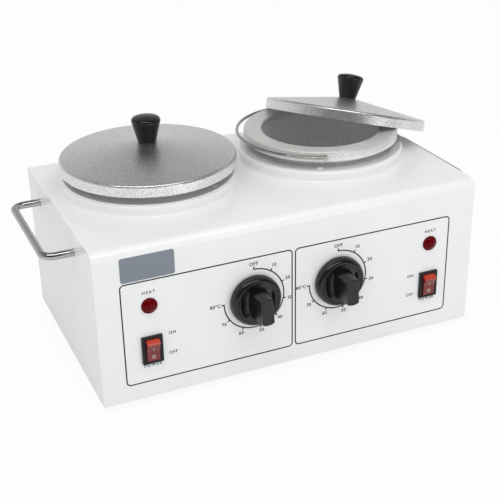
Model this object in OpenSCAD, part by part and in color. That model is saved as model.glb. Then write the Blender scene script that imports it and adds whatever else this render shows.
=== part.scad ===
// Double wax warmer: a folded sheet casing with two heated wells, two lift-out pots
// with wire bails and lids, and a thermostat, a switch and a pilot lamp for each side.
// Millimetres. +Z is up and the front faces -Y. The origin is on the floor under the
// middle of the casing.

/* [Casing] */
// Width of the casing, side to side
body_w = 295; // [280:1:330]
// Depth of the casing, front to back
body_d = 176; // [165:1:200]
// Height of the casing, from its lower edge to the deck
body_h = 116.5; // [112:0.5:140]
// Thickness of the casing sheet
sheet_t = 1; // [0.8:0.1:1.5]
// Outer radius of the fold between the front and the deck
front_fold_r = 6; // [3:0.5:9]
// Outer radius of the fold between the deck and the back
rear_fold_r = 3; // [2:0.5:6]
// Width of the lips folded inwards along the lower edges
lip_w = 14; // [12:1:18]
// Distance from the back of the casing to the middle of the pots
pot_from_back = 72; // [68:1:80]
// Gap between the two lids when both are closed
lid_spacing = 12; // [9:1:20]

/* [Collars] */
// Outer radius of the raised collar round each well
collar_r = 65; // [64:0.5:68]
// Height of the collar above the deck
collar_h = 7.5; // [5:0.5:9]
// Radius of the collar's upper edge
collar_edge_r = 1.8; // [1.2:0.1:3]
// Radius of the fillet between the collar and the deck
collar_root_r = 2; // [1:0.5:3]

/* [Base and feet] */
// Thickness of the base plate
base_t = 1; // [0.8:0.1:2]
// Distance the base plate stays inside the outline of the casing
base_inset = 2; // [1:0.5:4]
// Height of the rubber feet
foot_h = 4; // [3:0.5:8]
// Radius of the rubber feet
foot_r = 8; // [6:0.5:10]
// Distance from the outline of the casing to the middle of a foot
foot_inset = 24; // [22:1:30]
// Distance from the outline of the casing to the middle of a base screw
base_screw_inset = 9; // [8:0.5:10]
// Length of the cooling slots in the base plate
vent_l = 40; // [20:1:50]
// Width of the cooling slots
vent_w = 4; // [3:0.5:6]
// Distance between cooling slots
vent_pitch = 11; // [9:0.5:14]
// Number of cooling slots under each well
vent_count = 5; // [1:1:6]

/* [Pots] */
// Inner radius of a pot
pot_bore_r = 46.2; // [44:0.1:47]
// Wall of a pot
pot_wall = 1.5; // [1:0.1:2]
// Depth of a pot, from its flange to its floor
pot_depth = 85; // [70:1:88]
// Outer radius of the pot's flange
pot_flange_r = 60.4; // [58:0.1:61]
// Height of the flange's skirt
pot_skirt = 7.7; // [6.5:0.1:9]
// Height of the flange above the deck
pot_stand = 22.1; // [19:0.1:26]
// Fall of the flange from its edge to the mouth of the pot
pot_dish = 0.9; // [0:0.1:2]
// Outer radius at the foot of the pot's wall
pot_floor_r = 6; // [3:0.5:10]
// Radius of the flange's upper edge
pot_edge_r = 1.8; // [1.6:0.1:2.5]
// Radius of the lip where the flange turns down into the pot
pot_lip_r = 1.2; // [0.6:0.1:1.5]

/* [Wells] */
// Radial clearance between a pot and its well
well_clear = 1.8; // [1:0.1:2]
// Wall of a well
well_wall = 1.5; // [1:0.1:2]
// Clearance between the floor of a pot and the floor of its well
well_floor_gap = 1; // [0.5:0.1:3]
// Distance from the edge of the collar to the edge of the well's flange
well_flange_inset = 1.4; // [1:0.1:3]
// Thickness of the well's flange
well_flange_t = 1.2; // [1:0.1:2]
// Radius of the circle of rivets
rivet_circle_r = 58; // [56:0.1:59]
// Radius of a rivet's shank
rivet_r = 1.6; // [1.2:0.1:2]
// Radius of a rivet's head
rivet_head_r = 2.9; // [2.4:0.1:3.4]
// Height of a rivet's head
rivet_head_h = 1.2; // [0.8:0.1:1.4]
// Direction of the first rivet of the left well, from +X
left_rivet_turn = -176; // [-180:1:180]
// Direction of the first rivet of the right well, from +X
right_rivet_turn = -117; // [-180:1:180]

/* [Lids] */
// Radial clearance between the flange of a pot and the skirt of its lid, for the bail
lid_clear = 3.6; // [3.3:0.1:5]
// Height of the lid's skirt
lid_skirt = 8.7; // [7:0.1:10]
// Wall of a lid
lid_wall = 1.5; // [1:0.1:1.8]
// Slope of the lid's cone
lid_slope = 8.8; // [6:0.1:12]
// Radius of the lid's outer edge
lid_edge_r = 2; // [1.9:0.1:3]
// Radius of the flat round the middle of a lid
lid_flat_r = 8; // [7.5:0.5:10]
// Direction in which the right lid has slid and leans, from +X
prop_turn = 36.75; // [34:0.25:40]
// Distance by which the right lid has slid off the middle of its pot
prop_shift = 48.04; // [46:0.1:50]

/* [Lid knobs] */
// Height of a lid knob
knob_h = 20; // [16:0.5:24]
// Radius of a lid knob at its foot
knob_foot_r = 6.75; // [6:0.25:7.25]
// Radius of a lid knob at its widest
knob_top_r = 10.75; // [9:0.25:13]
// Height of the widest place of a lid knob
knob_wide_h = 16.2; // [13:0.1:18]
// Radius of the rounded edge of a lid knob
knob_edge_r = 2.6; // [1.5:0.1:3]
// Radius of the sphere that crowns a lid knob
knob_crown_r = 30; // [20:1:60]
// Radius of the lid knob's screw
knob_screw_r = 2; // [1.5:0.1:2.5]

/* [Bails] */
// Diameter of the bail wire
bail_wire_d = 2.4; // [2:0.1:2.6]
// Gap between the bail and the skirt of the flange
bail_gap = 0.5; // [0.3:0.1:0.6]
// Distance by which the left bail, pressed round, stands off the flange opposite its pivots
left_bail_slack = 1.9; // [1.7:0.1:2]
// Distance by which the right bail stands off the flange opposite its pivots
right_bail_slack = 5.3; // [2:0.1:7]
// Distance of the pivots below the top of the flange
bail_drop = 4.1; // [3.6:0.1:4.6]
// Direction in which the left bail is folded, from +X
left_bail_turn = 90; // [0:1:360]
// Direction in which the right bail is folded, from +X
right_bail_turn = 156.7; // [140:0.1:170]
// Angle at which the right bail stands above level
right_bail_lift = 1.3; // [0:0.1:1.4]

/* [Carry handles] */
// Diameter of the handle rod
handle_d = 5.5; // [5:0.1:8]
// Distance between the two legs of a handle
handle_span = 96; // [80:1:110]
// Distance from the side of the casing to the middle of the rod
handle_reach = 21; // [18:0.5:30]
// Radius of the bends, at the middle of the rod
handle_bend_r = 8; // [6:0.5:12]
// Distance from the front of the casing to the middle of a handle
handle_from_front = 93; // [85:1:95]
// Height of a handle above the lower edge of the casing
handle_z = 100; // [90:0.5:104]

/* [Dials] */
// Distance from the middle of the casing to a dial
dial_x = 33.2; // [30:0.1:36]
// Height of the dials above the lower edge of the casing
dial_z = 59.05; // [50:0.05:66]
// Radius of a dial knob
dial_r = 19; // [18:0.5:21]
// Gap between a dial knob and the panel
dial_gap = 0.8; // [0.5:0.1:1.5]
// Height of the dial's rim above the panel at its widest
dial_rim_z = 2.8; // [2.4:0.1:3.5]
// Thickness of the dial's disc in front of the panel
dial_disc_z = 8; // [6:0.5:9]
// Height of the dial's grip above the panel
dial_grip_z = 23.8; // [20:0.2:26]
// Radius to the ends of the grip, at the disc
dial_grip_r = 11.7; // [10:0.1:13]
// Radius to the ends of the grip, at its top
dial_grip_top_r = 10.1; // [9:0.1:11]
// Width of the grip at the disc
dial_grip_w = 14.2; // [10:0.1:15]
// Width of the grip at its top
dial_grip_top_w = 9.1; // [8:0.1:11]
// Angle of the dial from the OFF mark, clockwise
dial_set = 177; // [0:1:270]
// Radius of the dial's shaft
shaft_r = 3; // [2.5:0.1:3.2]
// Radial clearance of the shaft in its bearing
shaft_clear = 0.05; // [0.02:0.01:0.1]

/* [Thermostats] */
// Width and height of a thermostat
stat_w = 34; // [32:0.5:36]
// Depth of a thermostat
stat_d = 22; // [18:0.5:28]
// Distance between the two fixing screws of a thermostat
stat_screw_span = 26; // [24:0.5:28]
// Length of a sensing bulb
bulb_l = 44; // [30:1:50]
// Diameter of a sensing bulb and of a sleeved thermal fuse
bulb_d = 5; // [4:0.1:6]

/* [Switches] */
// Distance from the side of the casing to a switch and its lamp
switch_from_side = 37.1; // [34:0.1:42]
// Height of the switches above the lower edge of the casing
switch_z = 38.15; // [32:0.05:44]
// Width of a switch's bezel
bezel_w = 15; // [14:0.1:16]
// Height of a switch's bezel
bezel_h = 21; // [20:0.1:22]
// Thickness of a switch's bezel
bezel_t = 2; // [1.5:0.1:2.5]
// Width of a rocker
rocker_w = 9.2; // [8:0.1:9.6]
// Radius of the rounded ends of a rocker, about its pivot
rocker_r = 8.5; // [8:0.1:8.8]
// Distance from the pivot to the valley between a rocker's two faces
rocker_valley = 3; // [2.4:0.1:3.4]
// Travel of a rocker
rocker_travel = 22; // [16:1:24]

/* [Lamps] */
// Height of the lamps above the lower edge of the casing
lamp_z = 72; // [68:0.5:80]
// Outer radius of a lamp's lens
lamp_r = 5.75; // [5.2:0.05:6.5]
// Height of a lamp's dome above the panel
lamp_dome = 3.4; // [2:0.1:4]

/* [Name plate] */
// Width of the name plate
plate_w = 38.2; // [30:0.1:50]
// Height of the name plate
plate_h = 18; // [12:0.5:20]
// Distance from the left side of the casing to the name plate
plate_from_left = 18.4; // [12:0.1:30]
// Thickness of the name plate
plate_t = 0.5; // [0.3:0.1:1]

/* [Heaters] */
// Height of the heater band
band_h = 40; // [25:1:45]
// Thickness of the heater band
band_t = 2.5; // [2:0.1:4]
// Height of the heater band above the floor of its well
band_rise = 8; // [6:1:12]
// Thickness of the insulation sleeve
wool_t = 6; // [4:0.5:8]
// Height of the insulation sleeve
wool_h = 60; // [50:1:64]
// Width of the slot in the sleeve for the ends of the band
wool_slot = 26; // [22:1:30]

/* [Mains inlet] */
// Height of the inlet above the lower edge of the casing
inlet_z = 36; // [28:0.5:50]
// Width of the inlet's flange
inlet_flange_w = 50; // [48:0.5:52]
// Height of the inlet's flange
inlet_flange_h = 24; // [23.5:0.5:26]
// Distance between the inlet's fixing screws
inlet_screw_span = 40; // [39:0.5:41]

/* [Hidden] */
$fn = 64;

// Clearances
seat_gap = 0.3;     // under what rests on a curved or sloping seat
fit_gap = 0.1;      // round what passes through a hole
pin_gap = 0.05;     // round a rocker's pivot
band_gap = 0.1;     // between a heater band and its well
wool_gap = 0.3;     // between the insulation sleeve and the band
rocker_gap = 0.3;   // between a rocker and its housing
cut = 1;            // how far a cut runs past the face it opens

// Levels and places
case_z = foot_h + base_t;
deck_z = case_z + body_h;
front_y = -body_d / 2;
back_y = body_d / 2;
pot_y = back_y - pot_from_back;
flange_z = deck_z + pot_stand;
pot_r = pot_bore_r + pot_wall;
pot_floor_z = flange_z - pot_depth;
well_bore_r = pot_r + well_clear;
well_r = well_bore_r + well_wall;
well_floor_z = pot_floor_z - pot_wall - well_floor_gap;
well_base_z = well_floor_z - well_wall;
collar_z = deck_z + collar_h;
collar_hole_r = well_r + fit_gap;
well_flange_r = collar_r - well_flange_inset;
well_flange_z = collar_z + well_flange_t;
collar_join = 0.2;
flange_fall = pot_dish / (pot_flange_r - pot_bore_r);
well_rim_z = flange_at(well_bore_r) - pot_wall - seat_gap;
rivet_grip = well_flange_t + sheet_t;
rivet_tail = 2.2;
rivet_tail_h = 1.6;
rivet_count = 3;

// Height of the flange's top at radius r
function flange_at(r) = flange_z - flange_fall * (pot_flange_r - r);

// Lids. Their own frame has its origin in the plane of the outer edge.
lid_r = pot_flange_r + lid_clear + lid_wall;
pot_x = lid_r + lid_spacing / 2;
lid_hub = lid_r - lid_edge_r;
lid_edge_x = lid_hub + lid_edge_r * sin(lid_slope);
lid_edge_z = lid_edge_r * (cos(lid_slope) - 1);
lid_under_x = lid_hub + (lid_edge_r - lid_wall) * sin(lid_slope);
lid_under_z = (lid_edge_r - lid_wall) * cos(lid_slope) - lid_edge_r;
lid_top = lid_edge_z + (lid_edge_x - lid_flat_r) * tan(lid_slope);
lid_screw_head_r = 3.8;
lid_screw_head_h = 2.2;
lid_screw_l = 10;

// Height of a lid's underside at radius r, in the lid's frame
function lid_under(r) = lid_under_z + (lid_under_x - max(r, lid_flat_r)) * tan(lid_slope);

// The closed lid rests on the edge of its pot's flange
closed_lid_z = flange_z + seat_gap - lid_under(pot_flange_r);

// The propped lid rests on the flange of its pot, left and right of the direction in which
// it leans, and inside on the rear corner of the casing. Points are [along, across, up] from
// the middle of the flange. lid_poke is how far a point stands above the lid's inside, or
// above the lower edge of its skirt where the point lies under or outside the skirt.
prop_corner = turned([body_w / 2 - pot_x, back_y - rear_fold_r / 3 - pot_y], -prop_turn);
prop_step_angle = 1;
prop_sweep_angle = 120;
prop_round_count = 3;
prop_try_count = 24;
prop_angle_min = 5;
prop_angle_max = 35;
function turned(p, a) = [p.x * cos(a) - p.y * sin(a), p.x * sin(a) + p.y * cos(a)];
function lid_poke(p, tilt, z) =
    let (a = p.x - prop_shift,
         u = p[2] - z,
         along = a * cos(tilt) - u * sin(tilt),
         up = a * sin(tilt) + u * cos(tilt),
         r = norm([along, p.y]))
    up - (r > lid_r - lid_wall - seat_gap ? -lid_skirt : lid_under(r));
function rim_poke(tilt, z) =
    max([for (a = [0 : prop_step_angle : prop_sweep_angle])
        lid_poke([pot_flange_r * cos(a), pot_flange_r * sin(a), 0], tilt, z)]);
function prop_rise(tilt, z = 0, n = prop_round_count) =
    n <= 0 ? z : prop_rise(tilt, z + (rim_poke(tilt, z) + seat_gap) / cos(tilt), n - 1);
function corner_poke(tilt) =
    lid_poke([prop_corner.x, prop_corner.y, -pot_stand], tilt, prop_rise(tilt)) + seat_gap;
function find_tilt(lo, hi, n = prop_try_count) =
    let (mid = (lo + hi) / 2)
    n <= 0 ? mid : corner_poke(mid) > 0 ? find_tilt(lo, mid, n - 1) : find_tilt(mid, hi, n - 1);
prop_tilt = find_tilt(prop_angle_min, prop_angle_max);
prop_z = flange_z + prop_rise(prop_tilt);

// Bails
bail_wire_r = bail_wire_d / 2;
bail_half = pot_flange_r + bail_gap + bail_wire_r;
bail_z = flange_z - bail_drop;
bail_pin_r = bail_wire_r - 0.2;
bail_hole_r = bail_pin_r + pin_gap;
bail_head_r = bail_wire_r + 0.4;
bail_head_t = 0.8;
bail_eye_r = bail_wire_r + 0.5;
bail_play = 0.2;

// Carry handles
handle_y = front_y + handle_from_front;
handle_abs_z = case_z + handle_z;
handle_stud_r = 2;
handle_nut_r = 4;
handle_nut_t = 3.2;
handle_washer_r = 5;
handle_washer_t = 0.8;
handle_stud_l = sheet_t + handle_washer_t + handle_nut_t + 2;

// Controls
panel_in_y = front_y + sheet_t;
dial_abs_z = case_z + dial_z;
switch_x = body_w / 2 - switch_from_side;
switch_abs_z = case_z + switch_z;
lamp_abs_z = case_z + lamp_z;
dial_bore_l = 9;
dial_hub_r = 6;
dial_web_z = 5.5;
dial_rim_w = 2;
shaft_hole_r = shaft_r + 1;
shaft_depth = 12;
shaft_flat = shaft_r * 0.5;
stat_screw_r = 1.5;
stat_screw_head_r = 2.8;
stat_screw_head_h = 1.4;
stat_screw_l = 7;
switch_body_w = bezel_w - 2;
switch_body_h = bezel_h - 1.8;
switch_body_d = 14;
rocker_back = 5;
rocker_pin_r = 1.2;
rocker_pin_l = 1;
tab_w = 4.8;
tab_t = 0.8;
tab_l = 8;
switch_tab_pitch = 6;
lamp_body_r = lamp_r - 1;
lamp_body_d = 18;
lamp_ring_t = 1;
lamp_clip_r = lamp_body_r + 1.6;
lamp_clip_t = 2;
lamp_tab_x = 2.4;

// Heaters and sensors
band_z = well_floor_z + band_rise;
band_in_r = well_r + band_gap;
band_r = band_in_r + band_t;
band_split = 4;
band_ear_l = 8;
band_ear_t = 1.5;
band_screw_r = 1.5;
band_screw_head_r = 2.8;
band_screw_head_h = 2;
band_nut_r = 3.2;
band_nut_t = 2.4;
wool_in_r = band_r + wool_gap;
wool_r = wool_in_r + wool_t;
wool_below = 8;
wool_z = band_z - wool_below;
sensor_offset = 12;
sensor_z = well_base_z - bulb_d / 2 - band_gap;
fuse_l = 20;
strap_t = 1.2;
strap_w = 10;
strap_l = 2 * sensor_offset + 10;
strap_z = sensor_z - bulb_d / 2 - strap_t;
stud_r = 1.5;
stud_l = well_base_z - strap_z + 4;
strap_nut_r = 3.2;
strap_nut_t = 2.4;
capillary_r = 0.8;

// Inlet
inlet_abs_z = case_z + inlet_z;
inlet_flange_t = 3;
inlet_body_w = 27;
inlet_body_h = 19.6;
inlet_body_d = 22;
inlet_socket_w = 24;
inlet_socket_h = 16.4;
inlet_socket_d = 16;
inlet_pin_pitch = 7;
inlet_pin_drop = 2;
inlet_pin_w = 2;
inlet_pin_h = 4;
inlet_pin_l = 14;
inlet_tail = 6;
inlet_screw_r = 1.5;
inlet_screw_head_r = 2.8;
inlet_screw_head_h = 1.8;
inlet_nut_r = 3.2;
inlet_nut_t = 2.4;

// Base, terminals and earth
base_z = foot_h;
base_screw_r = 1.5;
base_screw_head_r = 3;
base_screw_head_h = 1.8;
base_screw_l = 6;
foot_screw_r = 2;
foot_screw_head_r = 3.6;
foot_screw_head_h = 1.6;
foot_sink = 1.8;
foot_nut_r = 3.6;
foot_nut_t = 2.6;
block_w = 33;
block_d = 16;
block_h = 14;
block_y = pot_y + 4;
block_way_count = 3;
block_pitch = 10;
block_hole_r = 2.2;
block_screw_r = 2.1;
block_screw_rise = 2.6;
block_screw_h = 3;
earth_y = block_y + 24;
earth_r = 2;
earth_l = 12;
earth_head_r = 3.4;
earth_head_h = 1.5;
earth_nut_r = 3.8;
earth_nut_t = 2.8;
earth_nut_rise = 4;
wire_r = 1.1;
wire_side_count = 8;
wire_gap = 0.2;
wire_tail = 4;
wire_ref = unit([0.35, 0.2, 0.9]);

sides = [-1, 1];

// ---- Shared shapes -------------------------------------------------------------------

// Area between a square corner at the origin and its rounding, for taking off
module corner_waste(r) {
    translate([-r, -r])
        difference() {
            square(r + cut);
            circle(r);
        }
}

// Cove that fills the corner between a floor (+X) and a wall (+Y)
module cove(r) {
    difference() {
        translate([-collar_join, -collar_join])
            square(r + collar_join);
        translate([r, r])
            circle(r);
    }
}

// Outline of the folded casing in the (Y, Z) plane, shrunk by g on all sides but the lowest
module fold_outline(g = 0) {
    rf = front_fold_r - g;
    rr = rear_fold_r - g;
    y0 = front_y + g;
    y1 = back_y - g;
    h = body_h - g;
    polygon([[y0, 0], [y0, h - rf], [y0 + rf, h], [y1 - rr, h], [y1, h - rr], [y1, 0]]);
    translate([y0 + rf, h - rf])
        circle(rf);
    translate([y1 - rr, h - rr])
        circle(rr);
}

// Extrusion of a (Y, Z) outline along X, from x0 over length l
module along_x(x0, l) {
    translate([x0, 0, 0])
        rotate([90, 0, 90])
            linear_extrude(height = l)
                children();
}

// Places a child drawn with +Z outwards on the front panel, at x and z
module on_panel(x, z) {
    translate([x, front_y, z])
        rotate([90, 0, 0])
            children();
}

// Places a child drawn with +Z outwards on the back, at x and z
module on_back(x, z) {
    translate([x, back_y, z])
        rotate([90, 0, 180])
            children();
}

// Cylinder along Y from y0 to y1
module rod_y(r, x, z, y0, y1) {
    translate([x, y0, z])
        rotate([-90, 0, 0])
            cylinder(r = r, h = y1 - y0);
}

// Unit vector along v
function unit(v) = v / norm(v);

// Direction of a wire at point i: along its neighbours
function wire_way(p, i) =
    let (n = len(p) - 1,
         before = unit(p[max(i, 1)] - p[max(i, 1) - 1]),
         after = unit(p[min(i, n - 1) + 1] - p[min(i, n - 1)]))
    unit(before + after);

// Wire with wire_side_count flat sides through a list of points, with a ring of corners at each
module wire(points, r) {
    n = len(points);
    rings = [for (i = [0 : n - 1])
        let (way = wire_way(points, i), u = unit(cross(wire_ref, way)), v = cross(way, u))
        for (k = [0 : wire_side_count - 1])
            points[i] + r * (cos(k * 360 / wire_side_count) * u + sin(k * 360 / wire_side_count) * v)];
    corners = [for (i = [0 : n - 2], k = [0 : wire_side_count - 1])
        let (a = i * wire_side_count + k, b = i * wire_side_count + (k + 1) % wire_side_count)
        [a, b, b + wire_side_count, a + wire_side_count]];
    walls = [for (c = corners) each [[c[0], c[2], c[1]], [c[0], c[3], c[2]]]];
    first = [for (k = [0 : wire_side_count - 1]) k];
    last = [for (k = [wire_side_count - 1 : -1 : 0]) (n - 1) * wire_side_count + k];
    polyhedron(points = rings, faces = concat(walls, [first, last]));
}

// Hexagonal nut or head, measured over its corners
module hexagon(r, h) {
    cylinder(r = r, h = h, $fn = 6);
}

// Places a child on every foot
module at_feet() {
    for (sx = sides)
        for (sy = sides)
            translate([sx * (body_w / 2 - foot_inset), sy * (body_d / 2 - foot_inset), 0])
                children();
}

// Places a child on every screw of the base plate
module at_base_screws() {
    for (sx = sides) {
        for (sy = sides)
            translate([sx * pot_x, sy * (body_d / 2 - base_screw_inset), 0])
                children();
        translate([sx * (body_w / 2 - base_screw_inset), 0, 0])
            children();
    }
}

// Places a child on every rivet of the well on side s
module at_rivets(s) {
    first = s < 0 ? left_rivet_turn : right_rivet_turn;
    translate([s * pot_x, pot_y, 0])
        for (i = [0 : rivet_count - 1])
            rotate(first + i * 360 / rivet_count)
                translate([rivet_circle_r, 0, 0])
                    children();
}

// ---- Casing --------------------------------------------------------------------------

module collar_shell() {
    r = collar_edge_r;
    translate([0, 0, deck_z])
        rotate_extrude()
            difference() {
                union() {
                    difference() {
                        translate([0, -sheet_t])
                            square([collar_r, collar_h + sheet_t]);
                        translate([collar_r, collar_h])
                            corner_waste(r);
                    }
                    translate([collar_r, 0])
                        cove(collar_root_r);
                }
                difference() {
                    translate([0, -sheet_t - cut])
                        square([collar_r - sheet_t, collar_h + cut]);
                    translate([collar_r - sheet_t, collar_h - sheet_t])
                        corner_waste(r - sheet_t);
                }
                translate([0, -sheet_t - cut])
                    square([collar_hole_r, collar_h + sheet_t + 2 * cut]);
            }
}

module control_openings() {
    for (s = sides) {
        rod_y(shaft_hole_r, s * dial_x, dial_abs_z, front_y - cut, panel_in_y + cut);
        for (k = sides)
            rod_y(stat_screw_r + fit_gap, s * dial_x + k * stat_screw_span / 2, dial_abs_z,
                front_y - cut, panel_in_y + cut);
        rod_y(lamp_body_r + fit_gap, s * switch_x, lamp_abs_z, front_y - cut, panel_in_y + cut);
        on_panel(s * switch_x, switch_abs_z)
            cube([switch_body_w + 2 * fit_gap, switch_body_h + 2 * fit_gap, 4 * sheet_t],
                center = true);
    }
}

module inlet_opening() {
    on_back(0, inlet_abs_z) {
        cube([inlet_body_w + 2 * fit_gap, inlet_body_h + 2 * fit_gap, 4 * sheet_t], center = true);
        for (k = sides)
            translate([k * inlet_screw_span / 2, 0, 0])
                cylinder(r = inlet_screw_r + fit_gap, h = 4 * sheet_t, center = true);
    }
}

module casing_wrap() {
    wrap_w = body_w - 2 * sheet_t;
    color("whitesmoke")
        difference() {
            union() {
                translate([0, 0, case_z])
                    difference() {
                        along_x(-wrap_w / 2, wrap_w)
                            fold_outline();
                        along_x(-wrap_w / 2 - cut, wrap_w + 2 * cut)
                            difference() {
                                fold_outline(sheet_t);
                                for (s = sides)
                                    translate([s * (body_d / 2 - lip_w / 2), sheet_t / 2])
                                        square([lip_w, sheet_t], center = true);
                            }
                        for (s = sides)
                            translate([s * pot_x, pot_y, 0])
                                cylinder(r = collar_r - sheet_t, h = body_h + cut);
                    }
                for (s = sides)
                    translate([s * pot_x, pot_y, 0])
                        collar_shell();
            }
            control_openings();
            inlet_opening();
            for (s = sides)
                at_rivets(s)
                    translate([0, 0, deck_z])
                        cylinder(r = rivet_r + pin_gap, h = collar_h + cut);
            at_base_screws()
                translate([0, 0, case_z - cut])
                    cylinder(r = base_screw_r + fit_gap, h = sheet_t + 2 * cut);
        }
}

module side_panel(s) {
    lip_l = body_d - 2 * lip_w - 2;
    color("whitesmoke")
        difference() {
            union() {
                translate([0, 0, case_z])
                    along_x(s > 0 ? body_w / 2 - sheet_t : -body_w / 2, sheet_t)
                        fold_outline();
                translate([s * (body_w / 2 - sheet_t / 2 - lip_w / 2), 0, case_z + sheet_t / 2])
                    cube([lip_w + sheet_t, lip_l, sheet_t], center = true);
            }
            for (k = sides)
                translate([s * body_w / 2, handle_y + k * handle_span / 2, handle_abs_z])
                    rotate([0, 90, 0])
                        cylinder(r = handle_stud_r + fit_gap, h = 4 * sheet_t, center = true);
            translate([s * (body_w / 2 - base_screw_inset), 0, case_z - cut])
                cylinder(r = base_screw_r + fit_gap, h = sheet_t + 2 * cut);
        }
}

module left_side_panel() {
    side_panel(-1);
}

module right_side_panel() {
    side_panel(1);
}

module vent_slots() {
    for (s = sides)
        for (i = [0 : vent_count - 1])
            translate([s * pot_x + (i - (vent_count - 1) / 2) * vent_pitch, pot_y, base_z - cut]) {
                translate([-vent_w / 2, -vent_l / 2, 0])
                    cube([vent_w, vent_l, base_t + 2 * cut]);
                for (k = sides)
                    translate([0, k * vent_l / 2, 0])
                        cylinder(r = vent_w / 2, h = base_t + 2 * cut);
            }
}

module base_plate() {
    w = body_w - 2 * base_inset;
    d = body_d - 2 * base_inset;
    color("silver")
        difference() {
            translate([-w / 2, -d / 2, base_z])
                cube([w, d, base_t]);
            vent_slots();
            at_base_screws()
                translate([0, 0, base_z - cut])
                    cylinder(r = base_screw_r + fit_gap, h = base_t + 2 * cut);
            at_feet()
                translate([0, 0, base_z - cut])
                    cylinder(r = foot_screw_r + fit_gap, h = base_t + 2 * cut);
            translate([0, earth_y, base_z - cut])
                cylinder(r = earth_r + pin_gap, h = base_t + 2 * cut);
        }
}

module base_screws() {
    color("silver")
        at_base_screws() {
            translate([0, 0, base_z - base_screw_head_h])
                cylinder(r = base_screw_head_r, h = base_screw_head_h);
            translate([0, 0, base_z - cut])
                cylinder(r = base_screw_r, h = base_screw_l + cut);
        }
}

module rubber_feet() {
    color("dimgray")
        at_feet()
            rotate_extrude()
                difference() {
                    square([foot_r, foot_h]);
                    translate([foot_r, 0])
                        mirror([0, 1])
                            corner_waste(1);
                    translate([0, -cut])
                        square([foot_screw_head_r + 0.4, foot_sink + cut]);
                    square([foot_screw_r + fit_gap, foot_h + cut]);
                }
}

module foot_screws() {
    color("silver")
        at_feet() {
            translate([0, 0, foot_sink - foot_screw_head_h])
                cylinder(r = foot_screw_head_r, h = foot_screw_head_h);
            translate([0, 0, foot_sink - cut])
                cylinder(r = foot_screw_r, h = case_z + foot_nut_t + 1 - foot_sink + cut);
            translate([0, 0, case_z])
                hexagon(foot_nut_r, foot_nut_t);
        }
}

module name_plate() {
    top_z = deck_z - front_fold_r;
    color("slategray")
        translate([plate_from_left - body_w / 2, front_y - plate_t, top_z - plate_h])
            cube([plate_w, plate_t, plate_h]);
}

// ---- Carry handles -------------------------------------------------------------------

// Drawn on the right, with X outwards from the side of the casing
module handle_rod() {
    r = handle_d / 2;
    leg = handle_reach - handle_bend_r;
    bar = handle_span - 2 * handle_bend_r;
    for (k = sides)
        translate([0, k * handle_span / 2, 0]) {
            rotate([0, 90, 0])
                cylinder(r = r, h = leg);
            translate([-handle_stud_l, 0, 0])
                rotate([0, 90, 0])
                    cylinder(r = handle_stud_r, h = handle_stud_l + cut);
            translate([leg, -k * handle_bend_r, 0])
                rotate(k > 0 ? 0 : -90)
                    rotate_extrude(angle = 90)
                        translate([handle_bend_r, 0])
                            circle(r);
        }
    translate([handle_reach, -bar / 2, 0])
        rotate([-90, 0, 0])
            cylinder(r = r, h = bar);
}

module handle(s) {
    color("lightgray")
        translate([s * body_w / 2, handle_y, handle_abs_z])
            mirror([s < 0 ? 1 : 0, 0, 0])
                handle_rod();
}

module left_handle() {
    handle(-1);
}

module right_handle() {
    handle(1);
}

module handle_nuts() {
    in_x = body_w / 2 - sheet_t;
    color("silver")
        for (s = sides)
            for (k = sides)
                translate([s * in_x, handle_y + k * handle_span / 2, handle_abs_z])
                    rotate([0, -s * 90, 0])
                        difference() {
                            union() {
                                cylinder(r = handle_washer_r, h = handle_washer_t);
                                translate([0, 0, handle_washer_t])
                                    hexagon(handle_nut_r, handle_nut_t);
                            }
                            translate([0, 0, -cut])
                                cylinder(r = handle_stud_r + pin_gap, h = 3 * handle_nut_t);
                        }
}

// ---- Wells, heaters and sensors ------------------------------------------------------

module well(s) {
    rim_r = well_wall / 2;
    color("darkgray")
        translate([s * pot_x, pot_y, 0])
            difference() {
                union() {
                    rotate_extrude()
                        difference() {
                            union() {
                                translate([0, well_base_z])
                                    square([well_r, well_rim_z - rim_r - well_base_z]);
                                translate([well_bore_r + rim_r, well_rim_z - rim_r])
                                    circle(rim_r);
                                translate([0, collar_z])
                                    square([well_flange_r, well_flange_t]);
                            }
                            translate([0, well_floor_z])
                                square([well_bore_r, well_rim_z]);
                            translate([well_r, well_base_z])
                                mirror([0, 1])
                                    corner_waste(well_wall);
                        }
                    translate([0, 0, well_base_z - stud_l])
                        cylinder(r = stud_r, h = stud_l + well_wall / 2);
                }
                translate([-s * pot_x, -pot_y, collar_z - cut])
                    at_rivets(s)
                        cylinder(r = rivet_r + pin_gap, h = well_flange_t + 2 * cut);
            }
}

module left_well() {
    well(-1);
}

module right_well() {
    well(1);
}

module well_rivets() {
    crown_r = (rivet_head_r * rivet_head_r + rivet_head_h * rivet_head_h) / (2 * rivet_head_h);
    color("silver")
        for (s = sides)
            at_rivets(s)
                translate([0, 0, well_flange_z]) {
                    rotate_extrude()
                        intersection() {
                            square([rivet_head_r, rivet_head_h]);
                            translate([0, rivet_head_h - crown_r])
                                circle(crown_r);
                        }
                    translate([0, 0, -rivet_grip - rivet_tail_h / 2])
                        cylinder(r = rivet_r, h = rivet_grip + rivet_tail_h / 2 + 0.2);
                    translate([0, 0, -rivet_grip - rivet_tail_h])
                        cylinder(r = rivet_tail, h = rivet_tail_h);
                }
}

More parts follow.
